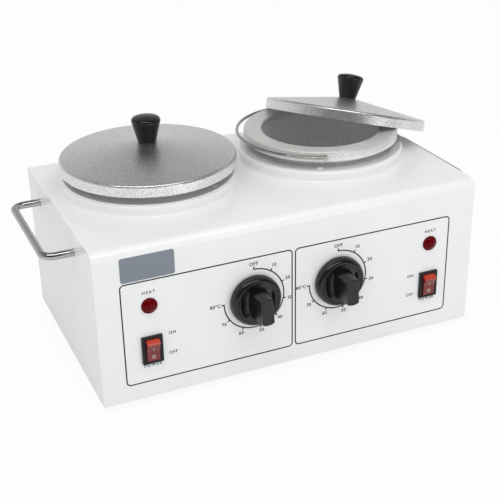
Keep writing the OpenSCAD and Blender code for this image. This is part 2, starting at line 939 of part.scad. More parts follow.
// Split band that is drawn together behind the well by two ears and a screw
module heater_band(s) {
    ear_y = band_r - band_t / 2;
    color("darkkhaki")
        translate([s * pot_x, pot_y, band_z])
            difference() {
                union() {
                    cylinder(r = band_r, h = band_h);
                    for (k = sides)
                        translate([k * (band_split + band_ear_t) / 2 - band_ear_t / 2, ear_y, 0])
                            cube([band_ear_t, band_ear_l + band_t / 2, band_h]);
                }
                translate([0, 0, -cut])
                    cylinder(r = band_in_r, h = band_h + 2 * cut);
                translate([-band_split / 2, 0, -cut])
                    cube([band_split, band_r + cut, band_h + 2 * cut]);
                translate([0, band_r + band_ear_l / 2, band_h / 2])
                    rotate([0, 90, 0])
                        cylinder(r = band_screw_r + pin_gap, h = 4 * band_split, center = true);
            }
}

module left_heater_band() {
    heater_band(-1);
}

module right_heater_band() {
    heater_band(1);
}

module band_screws() {
    half = band_split / 2 + band_ear_t;
    color("silver")
        for (s = sides)
            translate([s * pot_x, pot_y + band_r + band_ear_l / 2, band_z + band_h / 2])
                rotate([0, 90, 0]) {
                    translate([0, 0, -half - band_screw_head_h])
                        cylinder(r = band_screw_head_r, h = band_screw_head_h);
                    translate([0, 0, -half - cut])
                        cylinder(r = band_screw_r, h = 2 * half + band_nut_t + 2 * cut);
                    translate([0, 0, half])
                        hexagon(band_nut_r, band_nut_t);
                }
}

module insulation(s) {
    color("beige")
        translate([s * pot_x, pot_y, wool_z])
            difference() {
                cylinder(r = wool_r, h = wool_h);
                translate([0, 0, -cut])
                    cylinder(r = wool_in_r, h = wool_h + 2 * cut);
                translate([-wool_slot / 2, 0, -cut])
                    cube([wool_slot, wool_r + cut, wool_h + 2 * cut]);
            }
}

module left_insulation() {
    insulation(-1);
}

module right_insulation() {
    insulation(1);
}

// Bar under each well that presses the sensing bulb and the thermal fuse against its floor
module sensor_straps() {
    color("silver")
        for (s = sides)
            translate([s * pot_x, pot_y, strap_z])
                difference() {
                    translate([-strap_w / 2, -strap_l / 2, 0])
                        cube([strap_w, strap_l, strap_t]);
                    translate([0, 0, -cut])
                        cylinder(r = stud_r + fit_gap, h = strap_t + 2 * cut);
                }
}

module strap_nuts() {
    color("silver")
        for (s = sides)
            translate([s * pot_x, pot_y, strap_z - strap_nut_t])
                difference() {
                    hexagon(strap_nut_r, strap_nut_t);
                    translate([0, 0, -cut])
                        cylinder(r = stud_r + pin_gap, h = strap_nut_t + 2 * cut);
                }
}

module thermal_fuses() {
    color("ivory")
        for (s = sides)
            translate([s * pot_x, pot_y - sensor_offset, sensor_z])
                rotate([0, 90, 0])
                    cylinder(r = bulb_d / 2, h = fuse_l, center = true);
}

// Bulb under the well, and its capillary tube to the thermostat
module sensing_bulb(s) {
    bulb_y = pot_y + sensor_offset;
    inner_x = s * (pot_x - bulb_l / 2);
    turn_x = s * (pot_x - bulb_l / 2 - 12);
    low_z = wool_z - 6;
    stat_z = dial_abs_z - stat_w / 2 + 6;
    color("orange") {
        translate([s * pot_x, bulb_y, sensor_z])
            rotate([0, 90, 0])
                cylinder(r = bulb_d / 2, h = bulb_l, center = true);
        wire([[inner_x + s, bulb_y, sensor_z], [turn_x, bulb_y, low_z],
            [turn_x, front_y + sheet_t + stat_d + 14, low_z],
            [s * dial_x, front_y + sheet_t + stat_d + 8, stat_z],
            [s * dial_x, front_y + sheet_t + stat_d, stat_z]], capillary_r);
    }
}

module left_sensing_bulb() {
    sensing_bulb(-1);
}

module right_sensing_bulb() {
    sensing_bulb(1);
}

// ---- Dials and thermostats -----------------------------------------------------------

module thermostat(s) {
    step = 3;
    color("gainsboro")
        difference() {
            union() {
                translate([s * dial_x - stat_w / 2, panel_in_y, dial_abs_z - stat_w / 2])
                    cube([stat_w, stat_d - step, stat_w]);
                translate([s * dial_x - stat_w / 2 + step, panel_in_y + stat_d - step - cut,
                    dial_abs_z - stat_w / 2 + step])
                    cube([stat_w - 2 * step, step + cut, stat_w - 2 * step]);
                for (k = sides)
                    translate([s * dial_x + k * stat_w / 4 - tab_w / 2, panel_in_y + stat_d - cut,
                        dial_abs_z + stat_w / 4])
                        cube([tab_w, tab_l + cut, tab_t]);
            }
            rod_y(shaft_r + shaft_clear, s * dial_x, dial_abs_z, front_y, panel_in_y + shaft_depth);
            for (k = sides)
                rod_y(stat_screw_r + pin_gap, s * dial_x + k * stat_screw_span / 2, dial_abs_z,
                    front_y, panel_in_y + stat_screw_l);
        }
}

module left_thermostat() {
    thermostat(-1);
}

module right_thermostat() {
    thermostat(1);
}

module thermostat_screws() {
    color("silver")
        for (s = sides)
            for (k = sides)
                on_panel(s * dial_x + k * stat_screw_span / 2, dial_abs_z) {
                    cylinder(r = stat_screw_head_r, h = stat_screw_head_h);
                    translate([0, 0, -sheet_t - stat_screw_l + 1])
                        cylinder(r = stat_screw_r, h = sheet_t + stat_screw_l);
                }
}

// D-shaped shaft, drawn with +Z outwards from the panel and its flat towards +Y
module dial_shaft(s) {
    back_z = -sheet_t - shaft_depth + 0.5;
    color("silver")
        on_panel(s * dial_x, dial_abs_z)
            rotate(-dial_set)
                difference() {
                    translate([0, 0, back_z])
                        cylinder(r = shaft_r, h = dial_bore_l - back_z + dial_web_z - 1);
                    translate([-shaft_r - cut, shaft_flat, dial_gap])
                        cube([2 * (shaft_r + cut), shaft_r, dial_bore_l + dial_web_z]);
                }
}

module left_dial_shaft() {
    dial_shaft(-1);
}

module right_dial_shaft() {
    dial_shaft(1);
}

// Outline of the grip seen along it: its width against its height above the panel
module grip_outline() {
    low_z = dial_disc_z - 1;
    polygon([[-dial_grip_w / 2, low_z], [dial_grip_w / 2, low_z],
        [dial_grip_top_w / 2, dial_grip_z], [-dial_grip_top_w / 2, dial_grip_z]]);
}

// Knob drawn with +Z outwards from the panel and the end that points towards +Y
module dial_knob_shape() {
    bevel = dial_disc_z - dial_rim_z;
    bore_top = dial_bore_l + dial_web_z - 1 + fit_gap;
    difference() {
        union() {
            rotate_extrude()
                difference() {
                    union() {
                        translate([0, dial_gap])
                            square([dial_r, dial_rim_z - dial_gap]);
                        translate([0, dial_rim_z - 0.01])
                            square([dial_r - bevel, bevel + 0.01]);
                        translate([dial_r - bevel, dial_rim_z])
                            intersection() {
                                circle(bevel);
                                square(bevel);
                            }
                    }
                    translate([dial_hub_r, dial_gap - cut])
                        square([dial_r - dial_rim_w - dial_hub_r, dial_web_z - dial_gap + cut]);
                }
            intersection() {
                translate([0, 0, dial_disc_z - 1])
                    cylinder(r1 = dial_grip_r, r2 = dial_grip_top_r,
                        h = dial_grip_z - dial_disc_z + 1);
                translate([0, dial_r, 0])
                    rotate([90, 0, 0])
                        linear_extrude(height = 2 * dial_r)
                            grip_outline();
            }
        }
        difference() {
            cylinder(r = shaft_r + pin_gap, h = bore_top);
            translate([-dial_r, shaft_flat + pin_gap, dial_gap])
                cube([2 * dial_r, dial_r, bore_top]);
        }
    }
}

module dial_knob(s) {
    color([0.1, 0.1, 0.12])
        on_panel(s * dial_x, dial_abs_z)
            rotate(-dial_set)
                dial_knob_shape();
}

module left_dial_knob() {
    dial_knob(-1);
}

module right_dial_knob() {
    dial_knob(1);
}

// ---- Switches and lamps --------------------------------------------------------------

// Housing drawn with +Z outwards from the panel; the rocker's pivot is at the origin
module switch_housing(s) {
    cavity_h = 2 * (rocker_r + rocker_gap);
    cavity_w = rocker_w + 2 * rocker_gap;
    cavity_d = rocker_r + rocker_gap;
    color([0.12, 0.12, 0.13])
        on_panel(s * switch_x, switch_abs_z)
            difference() {
                union() {
                    translate([-bezel_w / 2, -bezel_h / 2, 0])
                        cube([bezel_w, bezel_h, bezel_t]);
                    translate([-switch_body_w / 2, -switch_body_h / 2, -sheet_t - switch_body_d])
                        cube([switch_body_w, switch_body_h, sheet_t + switch_body_d + cut]);
                    for (k = [-1, 0, 1])
                        translate([-tab_w / 2, k * switch_tab_pitch - tab_t / 2,
                            -sheet_t - switch_body_d - tab_l])
                            cube([tab_w, tab_t, tab_l + cut]);
                }
                translate([-cavity_w / 2, -cavity_h / 2, -cavity_d])
                    cube([cavity_w, cavity_h, cavity_d + bezel_t + cut]);
                rotate([0, 90, 0])
                    cylinder(r = rocker_pin_r + pin_gap,
                        h = cavity_w + 2 * (rocker_pin_l + fit_gap), center = true);
            }
}

module left_switch_housing() {
    switch_housing(-1);
}

module right_switch_housing() {
    switch_housing(1);
}

// Side outline of the rocker, level, with its front towards +X and up towards +Y
module rocker_side() {
    half = rocker_travel / 2;
    difference() {
        circle(rocker_r);
        translate([-rocker_r - cut, -rocker_r - cut])
            square([rocker_r + cut - rocker_back, 2 * (rocker_r + cut)]);
        for (k = sides)
            translate([rocker_valley, 0])
                rotate(-k * half)
                    translate([0, k > 0 ? 0 : -2 * rocker_r])
                        square(2 * rocker_r);
    }
}

module rocker(s) {
    color("crimson")
        translate([s * switch_x, front_y, switch_abs_z])
            rotate([rocker_travel / 2, 0, 0])
                rotate([0, 90, 0]) {
                    rotate(90)
                        mirror([0, 1])
                            rotate(-90)
                                linear_extrude(height = rocker_w, center = true)
                                    rotate(-90)
                                        rocker_side();
                    cylinder(r = rocker_pin_r, h = rocker_w + 2 * (rocker_gap + rocker_pin_l),
                        center = true);
                }
}

module left_rocker() {
    rocker(-1);
}

module right_rocker() {
    rocker(1);
}

module lamp_lens(s) {
    dome_r = lamp_body_r;
    dome_h = lamp_dome - lamp_ring_t;
    crown_r = (dome_r * dome_r + dome_h * dome_h) / (2 * dome_h);
    color("firebrick")
        on_panel(s * switch_x, lamp_abs_z)
            rotate_extrude() {
                difference() {
                    square([lamp_r, lamp_ring_t]);
                    translate([lamp_r, lamp_ring_t])
                        corner_waste(lamp_ring_t / 2);
                }
                intersection() {
                    translate([0, lamp_ring_t / 2])
                        square([dome_r, lamp_dome]);
                    translate([0, lamp_dome - crown_r])
                        circle(crown_r);
                }
                translate([0, -sheet_t])
                    square([lamp_body_r, sheet_t + 0.2]);
            }
}

module left_lamp_lens() {
    lamp_lens(-1);
}

module right_lamp_lens() {
    lamp_lens(1);
}

module lamp_bodies() {
    color("ivory")
        for (s = sides)
            on_panel(s * switch_x, lamp_abs_z) {
                translate([0, 0, -sheet_t - lamp_body_d])
                    cylinder(r = lamp_body_r, h = lamp_body_d);
                translate([0, 0, -sheet_t - lamp_clip_t])
                    cylinder(r = lamp_clip_r, h = lamp_clip_t);
                for (k = sides)
                    translate([k * lamp_tab_x - tab_t / 2, -tab_w / 4, -sheet_t - lamp_body_d - tab_l / 2])
                        cube([tab_t, tab_w / 2, tab_l / 2 + cut]);
            }
}

// ---- Mains inlet, terminals and wiring -----------------------------------------------

// Drawn with +Z outwards from the back
module inlet_housing() {
    end_r = inlet_flange_h / 2;
    color([0.13, 0.13, 0.14])
        on_back(0, inlet_abs_z)
            difference() {
                union() {
                    translate([-inlet_flange_w / 2 + 6, -end_r, 0])
                        cube([inlet_flange_w - 12, inlet_flange_h, inlet_flange_t]);
                    for (k = sides)
                        translate([k * inlet_screw_span / 2, 0, 0])
                            cylinder(r = (inlet_flange_w - inlet_screw_span) / 2,
                                h = inlet_flange_t);
                    translate([-inlet_body_w / 2, -inlet_body_h / 2, -inlet_body_d])
                        cube([inlet_body_w, inlet_body_h, inlet_body_d + cut]);
                }
                translate([-inlet_socket_w / 2, -inlet_socket_h / 2,
                    inlet_flange_t - inlet_socket_d])
                    cube([inlet_socket_w, inlet_socket_h, inlet_socket_d + cut]);
                for (k = sides)
                    translate([k * inlet_screw_span / 2, 0, -cut])
                        cylinder(r = inlet_screw_r + fit_gap, h = inlet_flange_t + 2 * cut);
                at_inlet_pins()
                    translate([0, 0, -inlet_body_d - cut])
                        cube([inlet_pin_w, inlet_pin_h, 2 * inlet_body_d], center = true);
            }
}

// Places a child on each of the three contacts, drawn with +Z outwards from the back
module at_inlet_pins() {
    for (k = [-1, 0, 1])
        translate([k * inlet_pin_pitch, k == 0 ? inlet_pin_drop : -inlet_pin_drop, 0])
            children();
}

module inlet_pins() {
    color("silver")
        on_back(0, inlet_abs_z)
            at_inlet_pins()
                translate([-inlet_pin_w / 2, -inlet_pin_h / 2, -inlet_body_d - inlet_tail])
                    cube([inlet_pin_w, inlet_pin_h, inlet_body_d + inlet_tail + inlet_flange_t
                        - inlet_socket_d + inlet_pin_l]);
}

module inlet_screws() {
    color("silver")
        on_back(0, inlet_abs_z)
            for (k = sides)
                translate([k * inlet_screw_span / 2, 0, 0]) {
                    translate([0, 0, inlet_flange_t])
                        cylinder(r = inlet_screw_head_r, h = inlet_screw_head_h);
                    translate([0, 0, -sheet_t - inlet_nut_t - 1])
                        cylinder(r = inlet_screw_r, h = sheet_t + inlet_nut_t + inlet_flange_t + 1.5);
                    translate([0, 0, -sheet_t - inlet_nut_t])
                        hexagon(inlet_nut_r, inlet_nut_t);
                }
}

module terminal_block() {
    color("ivory")
        difference() {
            translate([-block_w / 2, block_y - block_d / 2, case_z])
                cube([block_w, block_d, block_h]);
            for (i = [0 : block_way_count - 1])
                translate([(i - 1) * block_pitch, block_y, case_z + block_h / 2]) {
                    rotate([90, 0, 0])
                        cylinder(r = block_hole_r, h = block_d + 2 * cut, center = true);
                    cylinder(r = block_hole_r, h = block_h);
                }
        }
}

module terminal_screws() {
    color("gold")
        for (i = [0 : block_way_count - 1])
            translate([(i - 1) * block_pitch, block_y, case_z + block_h / 2 + block_screw_rise])
                cylinder(r = block_screw_r, h = block_screw_h);
}

module earth_stud() {
    color("silver")
        translate([0, earth_y, base_z]) {
            translate([0, 0, -earth_head_h])
                cylinder(r = earth_head_r, h = earth_head_h);
            translate([0, 0, -cut])
                cylinder(r = earth_r, h = earth_l + cut);
            for (z = [base_t, base_t + earth_nut_rise])
                translate([0, 0, z])
                    hexagon(earth_nut_r, earth_nut_t);
        }
}

// Last stretch of a wire: straight out of a terminal at p, in direction way
function lead(p, way) = [p + wire_gap * way, p + wire_tail * way];

// First stretch of the same
function lead_in(p, way) = [p + wire_tail * way, p + wire_gap * way];

// Leads from the inlet's contacts to the terminal block and to the earth stud
module supply_wiring() {
    tail_y = back_y - inlet_body_d - inlet_tail;
    low_z = inlet_abs_z - inlet_pin_drop;
    far_y = block_y + block_d / 2;
    way_z = case_z + block_h / 2;
    color("saddlebrown") {
        for (k = sides)
            wire(concat(lead([k * inlet_pin_pitch, tail_y, low_z], [0, -1, 0]),
                [[k * block_pitch, far_y + 7, way_z + 8]],
                lead_in([k * block_pitch, far_y - 4, way_z], [0, 2, 0])), wire_r);
        wire(concat(lead([0, tail_y, low_z + 2 * inlet_pin_drop], [0, -1, 0]),
            [[0, tail_y - 7, low_z - 6], [0, earth_y, case_z + earth_l + 5]],
            lead_in([0, earth_y, base_z + earth_l], [0, 0, 1])), wire_r);
    }
}

// Leads of one side: block to switch, switch to lamp, switch to thermostat,
// thermostat to fuse, and fuse to heater band
module side_wiring(s) {
    near_y = block_y - block_d / 2;
    way_z = case_z + block_h / 2;
    tab_y = panel_in_y + switch_body_d + tab_l;
    stat_tab_y = panel_in_y + stat_d + tab_l;
    stat_tab_z = dial_abs_z + stat_w / 4 + tab_t / 2;
    lamp_tab_y = panel_in_y + lamp_body_d + tab_l / 2;
    lamp_lead_x = s * (switch_x + lamp_tab_x);
    fuse_y = pot_y - sensor_offset;
    low_z = sensor_z - 12;
    heater_x = s * pot_x + 6;
    heater_y = pot_y + band_r + 4;
    color("saddlebrown") {
        wire(concat(lead([s * block_pitch, near_y + 4, way_z], [0, -2, 0]),
            [[s * (block_pitch + 12), near_y - 30, way_z], [s * switch_x, tab_y + 16, way_z]],
            lead_in([s * switch_x, tab_y, switch_abs_z - switch_tab_pitch], [0, 1, 0])), wire_r);
        wire(concat(lead([s * switch_x, tab_y, switch_abs_z + switch_tab_pitch], [0, 1, 0]),
            [[lamp_lead_x, lamp_tab_y + 6, lamp_abs_z - 12]],
            lead_in([lamp_lead_x, lamp_tab_y, lamp_abs_z], [0, 1, 0])), wire_r);
        wire(concat(lead([s * switch_x, tab_y, switch_abs_z], [0, 1, 0]),
            [[s * (switch_x - 12), tab_y + 8, switch_abs_z + 4],
            [s * (dial_x + stat_w / 2 + 6), stat_tab_y + 6, wool_z - 9]],
            lead_in([s * (dial_x + stat_w / 4), stat_tab_y, stat_tab_z], [0, 1, 0])), wire_r);
        wire(concat(lead([s * (dial_x - stat_w / 4), stat_tab_y, stat_tab_z], [0, 1, 0]),
            [[s * (dial_x - stat_w / 4), stat_tab_y + 8, low_z + 10],
            [s * (dial_x - stat_w / 4 + 5), stat_tab_y + 12, low_z],
            [s * (pot_x - fuse_l / 2 - 12), fuse_y - 2, low_z]],
            lead_in([s * (pot_x - fuse_l / 2), fuse_y, sensor_z], [-s, 0, 0])), wire_r);
        wire(concat(lead([s * (pot_x + fuse_l / 2), fuse_y, sensor_z], [s, 0, 0]),
            [[s * (pot_x + 22), fuse_y + 8, low_z + 4], [s * (pot_x + 22), heater_y - 12, low_z + 4],
            [heater_x, heater_y, wool_z - 2]],
            lead_in([heater_x, heater_y, band_z + 8], [0, 0, -1])), wire_r);
    }
}

module left_wiring() {
    side_wiring(-1);
}

module right_wiring() {
    side_wiring(1);
}

// ---- Pots, bails and lids ------------------------------------------------------------

// Outline of the pot at radius (X) and height above the flange's edge (Y)
module pot_profile() {
    bottom = -pot_depth - pot_wall;
    mouth = -pot_dish;
    skirt_r = pot_flange_r - pot_wall;
    under = flange_at(pot_r) - flange_z - pot_wall;
    difference() {
        polygon([[0, bottom], [pot_r, bottom], [pot_r, under], [skirt_r, -pot_wall],
            [skirt_r, -pot_skirt], [pot_flange_r, -pot_skirt], [pot_flange_r, 0],
            [pot_bore_r, mouth], [0, mouth]]);
        translate([pot_r, bottom])
            mirror([0, 1])
                corner_waste(pot_floor_r);
        difference() {
            translate([-cut, -pot_depth])
                square([pot_bore_r + cut, pot_depth + cut]);
            translate([pot_bore_r, -pot_depth])
                mirror([0, 1])
                    corner_waste(pot_floor_r - pot_wall);
        }
        translate([pot_flange_r, 0])
            corner_waste(pot_edge_r);
        translate([pot_bore_r, mouth])
            mirror([1, 0])
                corner_waste(pot_lip_r);
    }
}

module pot(s) {
    turn = s < 0 ? left_bail_turn : right_bail_turn;
    color("silver")
        translate([s * pot_x, pot_y, flange_z])
            difference() {
                rotate_extrude()
                    pot_profile();
                translate([0, 0, -bail_drop])
                    rotate(turn + 90)
                        for (k = sides)
                            translate([k * (pot_flange_r - pot_wall / 2), 0, 0])
                                rotate([0, 90, 0])
                                    cylinder(r = bail_hole_r, h = 3 * pot_wall, center = true);
            }
}

module left_pot() {
    pot(-1);
}

module right_pot() {
    pot(1);
}

// Hoop of wire that ends in two eyes, each on a pin that turns in a hole of the flange's
// skirt. Drawn with its pivots on the X axis and the hoop towards -Y.
module bail(s, turn, reach, lift) {
    hoop_r = (reach * reach + bail_half * bail_half) / (2 * reach);
    hoop_y = reach - hoop_r;
    end_a = asin(hoop_y / hoop_r);
    eye_in = pot_flange_r + bail_play;
    eye_l = bail_half + bail_wire_r + bail_play - eye_in;
    head_in = pot_flange_r - pot_wall - bail_play - bail_head_t;
    color("gray")
        translate([s * pot_x, pot_y, bail_z])
            rotate(turn + 90)
                rotate([-lift, 0, 0]) {
                    translate([0, -hoop_y, 0])
                        rotate(180 - end_a)
                            rotate_extrude(angle = 180 + 2 * end_a)
                                translate([hoop_r, 0])
                                    circle(bail_wire_r);
                    for (k = sides)
                        rotate([0, k * 90, 0]) {
                            translate([0, 0, head_in])
                                cylinder(r = bail_pin_r, h = eye_in - head_in + eye_l / 2);
                            translate([0, 0, head_in])
                                cylinder(r = bail_head_r, h = bail_head_t);
                            translate([0, 0, eye_in])
                                cylinder(r = bail_eye_r, h = eye_l);
                        }
                }
}

module left_bail() {
    bail(-1, left_bail_turn, pot_flange_r + left_bail_slack, 0);
}

module right_bail() {
    bail(1, right_bail_turn, pot_flange_r + right_bail_slack, right_bail_lift);
}

module lid_profile() {
    under_flat = lid_under(lid_flat_r);
    in_r = lid_r - lid_wall;
    difference() {
        union() {
            polygon([[0, -lid_skirt], [lid_r, -lid_skirt], [lid_r, -lid_edge_r],
                [lid_edge_x, lid_edge_z], [lid_flat_r, lid_top], [0, lid_top]]);
            translate([lid_hub, -lid_edge_r])
                circle(lid_edge_r);
        }
        union() {
            polygon([[-cut, -lid_skirt - cut], [in_r, -lid_skirt - cut], [in_r, -lid_edge_r],
                [lid_under_x, lid_under_z], [lid_flat_r, under_flat], [-cut, under_flat]]);
            translate([lid_hub, -lid_edge_r])
                circle(lid_edge_r - lid_wall);
        }
        translate([-cut, -lid_skirt - cut])
            square([knob_screw_r + fit_gap + cut, lid_skirt + lid_top + 2 * cut]);
    }
}

// Places a child drawn in the lid's frame on the closed lid or on the propped lid
module at_lid(s) {
    if (s < 0)
        translate([-pot_x, pot_y, closed_lid_z])
            children();
    else
        translate([pot_x, pot_y, prop_z])
            rotate(prop_turn)
                translate([prop_shift, 0, 0])
                    rotate([0, prop_tilt, 0])
                        children();
}

module lid() {
    color("silver")
        rotate_extrude()
            lid_profile();
}

module left_lid() {
    at_lid(-1)
        lid();
}

module right_lid() {
    at_lid(1)
        lid();
}

module lid_knob() {
    edge_x = knob_top_r - knob_edge_r;
    color([0.1, 0.1, 0.11])
        translate([0, 0, lid_top])
            rotate_extrude()
                difference() {
                    union() {
                        polygon([[0, 0], [knob_foot_r, 0], [knob_top_r, knob_wide_h],
                            [edge_x, knob_wide_h + 1], [0, knob_wide_h + 1]]);
                        translate([edge_x, knob_wide_h])
                            circle(knob_edge_r);
                        intersection() {
                            translate([0, knob_wide_h])
                                square([edge_x, knob_h]);
                            translate([0, knob_h - knob_crown_r])
                                circle(knob_crown_r, $fn = 128);
                        }
                    }
                    translate([-cut, -cut])
                        square([knob_screw_r + pin_gap + cut, lid_screw_l + cut]);
                }
}

module left_lid_knob() {
    at_lid(-1)
        lid_knob();
}

module right_lid_knob() {
    at_lid(1)
        lid_knob();
}

module lid_screw() {
    head_z = lid_under(lid_flat_r);
    color("silver") {
        translate([0, 0, head_z - lid_screw_head_h])
            cylinder(r = lid_screw_head_r, h = lid_screw_head_h);
        translate([0, 0, head_z - cut])
            cylinder(r = knob_screw_r, h = lid_top - head_z + lid_screw_l);
    }
}

module left_lid_screw() {
    at_lid(-1)
        lid_screw();
}

module right_lid_screw() {
    at_lid(1)
        lid_screw();
}

casing_wrap();
left_side_panel();
right_side_panel();
base_plate();
base_screws();
rubber_feet();
foot_screws();
name_plate();
left_handle();
right_handle();
handle_nuts();
left_well();
right_well();
well_rivets();
left_heater_band();
right_heater_band();
band_screws();
left_insulation();
right_insulation();
sensor_straps();
strap_nuts();
left_thermostat();
right_thermostat();
thermostat_screws();
left_sensing_bulb();
right_sensing_bulb();
thermal_fuses();
left_dial_shaft();
right_dial_shaft();
left_dial_knob();
right_dial_knob();
left_switch_housing();
right_switch_housing();
left_rocker();
right_rocker();
left_lamp_lens();
right_lamp_lens();
lamp_bodies();
inlet_housing();
inlet_pins();
inlet_screws();
terminal_block();
terminal_screws();
earth_stud();
supply_wiring();
left_wiring();
right_wiring();
left_pot();
right_pot();
left_bail();
right_bail();
left_lid();
right_lid();
left_lid_knob();
right_lid_knob();
left_lid_screw();
right_lid_screw();
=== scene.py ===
"""Looks of a double wax warmer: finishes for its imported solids, and the pieces whose rounded
forms or print the solids leave plain, built as surfaces. Metres. +Z is up and the front
faces -Y. It runs as a script and is laid out as an add-on with a panel in the sidebar."""

import math

import bmesh
import bpy
import numpy as np
from mathutils import Matrix, Vector


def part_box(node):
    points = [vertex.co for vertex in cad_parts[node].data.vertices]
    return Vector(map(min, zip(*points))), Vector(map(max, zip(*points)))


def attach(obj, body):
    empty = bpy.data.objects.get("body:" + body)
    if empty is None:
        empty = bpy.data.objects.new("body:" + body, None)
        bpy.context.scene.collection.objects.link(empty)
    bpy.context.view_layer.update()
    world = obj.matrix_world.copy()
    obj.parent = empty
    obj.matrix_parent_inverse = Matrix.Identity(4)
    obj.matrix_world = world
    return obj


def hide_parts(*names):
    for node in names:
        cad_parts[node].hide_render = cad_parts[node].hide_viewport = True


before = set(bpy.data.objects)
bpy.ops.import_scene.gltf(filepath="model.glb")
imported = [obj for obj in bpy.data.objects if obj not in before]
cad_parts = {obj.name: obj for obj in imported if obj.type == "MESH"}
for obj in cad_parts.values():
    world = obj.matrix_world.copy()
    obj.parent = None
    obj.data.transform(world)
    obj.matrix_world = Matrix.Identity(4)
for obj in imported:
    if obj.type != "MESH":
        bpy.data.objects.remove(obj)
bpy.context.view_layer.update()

bl_info = {
    "name": "Wax Warmer Looks",
    "version": (1, 0, 0),
    "blender": (4, 5, 0),
    "location": "3D View > Sidebar > Warmer",
    "description": "Builds the visible pieces, finishes and studio of a double wax warmer",
    "category": "Object",
}

MM = 0.001
SIDES = ("left", "right")
# Faces of a round corner
CORNER_STEPS = 8


def middle(node):
    """Middle of a node's box."""
    low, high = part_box(node)
    return (low + high) / 2


def sign(side):
    """-1 on the left, 1 on the right."""
    return -1 if side == "left" else 1


# Depth of the front, and the middles of what is on it
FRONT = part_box("casing_wrap")[0].y
DIAL = {side: middle(side + "_dial_shaft") for side in SIDES}
SWITCH = {side: middle(side + "_switch_housing") for side in SIDES}
LAMP = {side: middle(side + "_lamp_lens") for side in SIDES}
# Angles in degrees: how far the dials stand from OFF, and how far a rocker tips
DIAL_SET = 177
ROCKER_TRAVEL = 22


# ---- Sizes and colours that a user may change ----------------------------------------


def length(name, text, value):
    """Length property in metres."""
    return bpy.props.FloatProperty(name=name, description=text, default=value, min=0.0,
                                   max=0.2, precision=5, unit="LENGTH")


def tint(name, text, value):
    """Colour property, linear."""
    return bpy.props.FloatVectorProperty(name=name, description=text, default=value, min=0.0,
                                         max=1.0, size=3, subtype="COLOR")


def amount(name, text, value, top):
    """Plain number from 0 to top."""
    return bpy.props.FloatProperty(name=name, description=text, default=value, min=0.0, max=top)


class WarmerSizes(bpy.types.PropertyGroup):
    """Sizes of the pieces built here."""
    line_w: length("Printed line", "Width of the printed lines", 0.92 * MM)
    ink_t: length("Ink", "Thickness of the print", 0.05 * MM)
    scale_r: length("Scale", "Radius of the printed arc round a dial", 23 * MM)
    tick_l: length("Tick", "Length of a mark of the scale", 2 * MM)
    numeral_h: length("Numerals", "Height of the numerals of the scale", 2.5 * MM)
    label_h: length("Labels", "Height of the labels of the switches and lamps", 2.2 * MM)
    disc_h: length("Dial disc", "Thickness of a dial's disc", 8 * MM)
    grip_h: length("Dial grip", "Height of a dial's grip over the panel", 23.8 * MM)
    hollow: length("Dial hollow", "Depth of the finger hollows of a dial", 1.8 * MM)
    frame_r: length("Frame corner", "Radius of the corners of the printed frames", 3 * MM)
    plate_r: length("Name plate corner", "Radius of the corners of the name plate", 1.6 * MM)
    pebble: length("Pebble", "Size of the grain of the lids", 0.9 * MM)


class WarmerColours(bpy.types.PropertyGroup):
    """Colours of the finishes."""
    enamel: tint("Enamel", "Powder coat of the casing", (0.86, 0.87, 0.875))
    ink: tint("Ink", "Print on the front", (0.012, 0.012, 0.014))
    red_ink: tint("Red ink", "Labels over the lamps", (0.13, 0.05, 0.045))
    plate: tint("Name plate", "Face of the bare name plate", (0.20, 0.23, 0.27))
    lid: tint("Lid", "Pebbled aluminium of the lids", (0.82, 0.82, 0.80))
    # Pot: lightened to paint in the light that reaches the inside of the pots; the flange
    # colour below is the darker one
    pot: tint("Pot", "Satin aluminium inside the pots", (0.84, 0.84, 0.85))
    flange: tint("Pot flange", "Satin aluminium of the flanges", (0.70, 0.70, 0.68))
    well: tint("Well", "Cast aluminium of the wells", (0.85, 0.85, 0.86))
    knob: tint("Knob", "Black knobs and dials", (0.007, 0.007, 0.008))
    # The two rocker reds are painted light: a lit red for the end that stands out, and a shaded
    # red for the face below it
    rocker: tint("Rocker", "Red rockers", (0.55, 0.045, 0.018))
    rocker_painted_shade: tint("Rocker face", "Dusky face of the rockers", (0.20, 0.022, 0.018))
    lens: tint("Lens", "Red lamp lenses", (0.13, 0.001, 0.003))
    mark: tint("Marks", "Marks of the rockers", (0.72, 0.66, 0.64))
    chrome: tint("Chrome", "Plating of the handles", (0.50, 0.50, 0.49))
    wire: tint("Wire", "Steel wire of the bails", (0.50, 0.49, 0.47))


class WarmerStudio(bpy.types.PropertyGroup):
    """Camera and light."""
    key: amount("Key light", "Power of the long lamp above, in watts", 3.9, 200.0)
    fill: amount("Fill light", "Power of the lamp in front, in watts", 0.7, 200.0)
    room: amount("Room", "Strength of the light from all round", 0.76, 4.0)
    lens: bpy.props.FloatProperty(name="Lens", description="Focal length of the camera",
                                  default=75.51, min=20, max=200, unit="CAMERA")
    roll: bpy.props.FloatProperty(name="Roll", description="Turn of the camera about its axis",
                                  default=math.radians(-1.16), subtype="ANGLE")


# ---- Surfaces ------------------------------------------------------------------------


def grid_faces(rows, cols):
    """Quads of a grid of rows by cols points whose last column meets the first."""
    i, j = np.meshgrid(np.arange(rows - 1), np.arange(cols), indexing="ij")
    k = (j + 1) % cols
    quads = np.stack([i * cols + j, i * cols + k, (i + 1) * cols + k, (i + 1) * cols + j], -1)
    return quads.reshape(-1, 4)


def shell(grid, ring=False):
    """(points, quads) of a grid (rows, cols, 3). With ring the last row meets the first."""
    if ring:
        grid = np.concatenate([grid, grid[:1]])
    return grid.reshape(-1, 3), grid_faces(grid.shape[0], grid.shape[1])


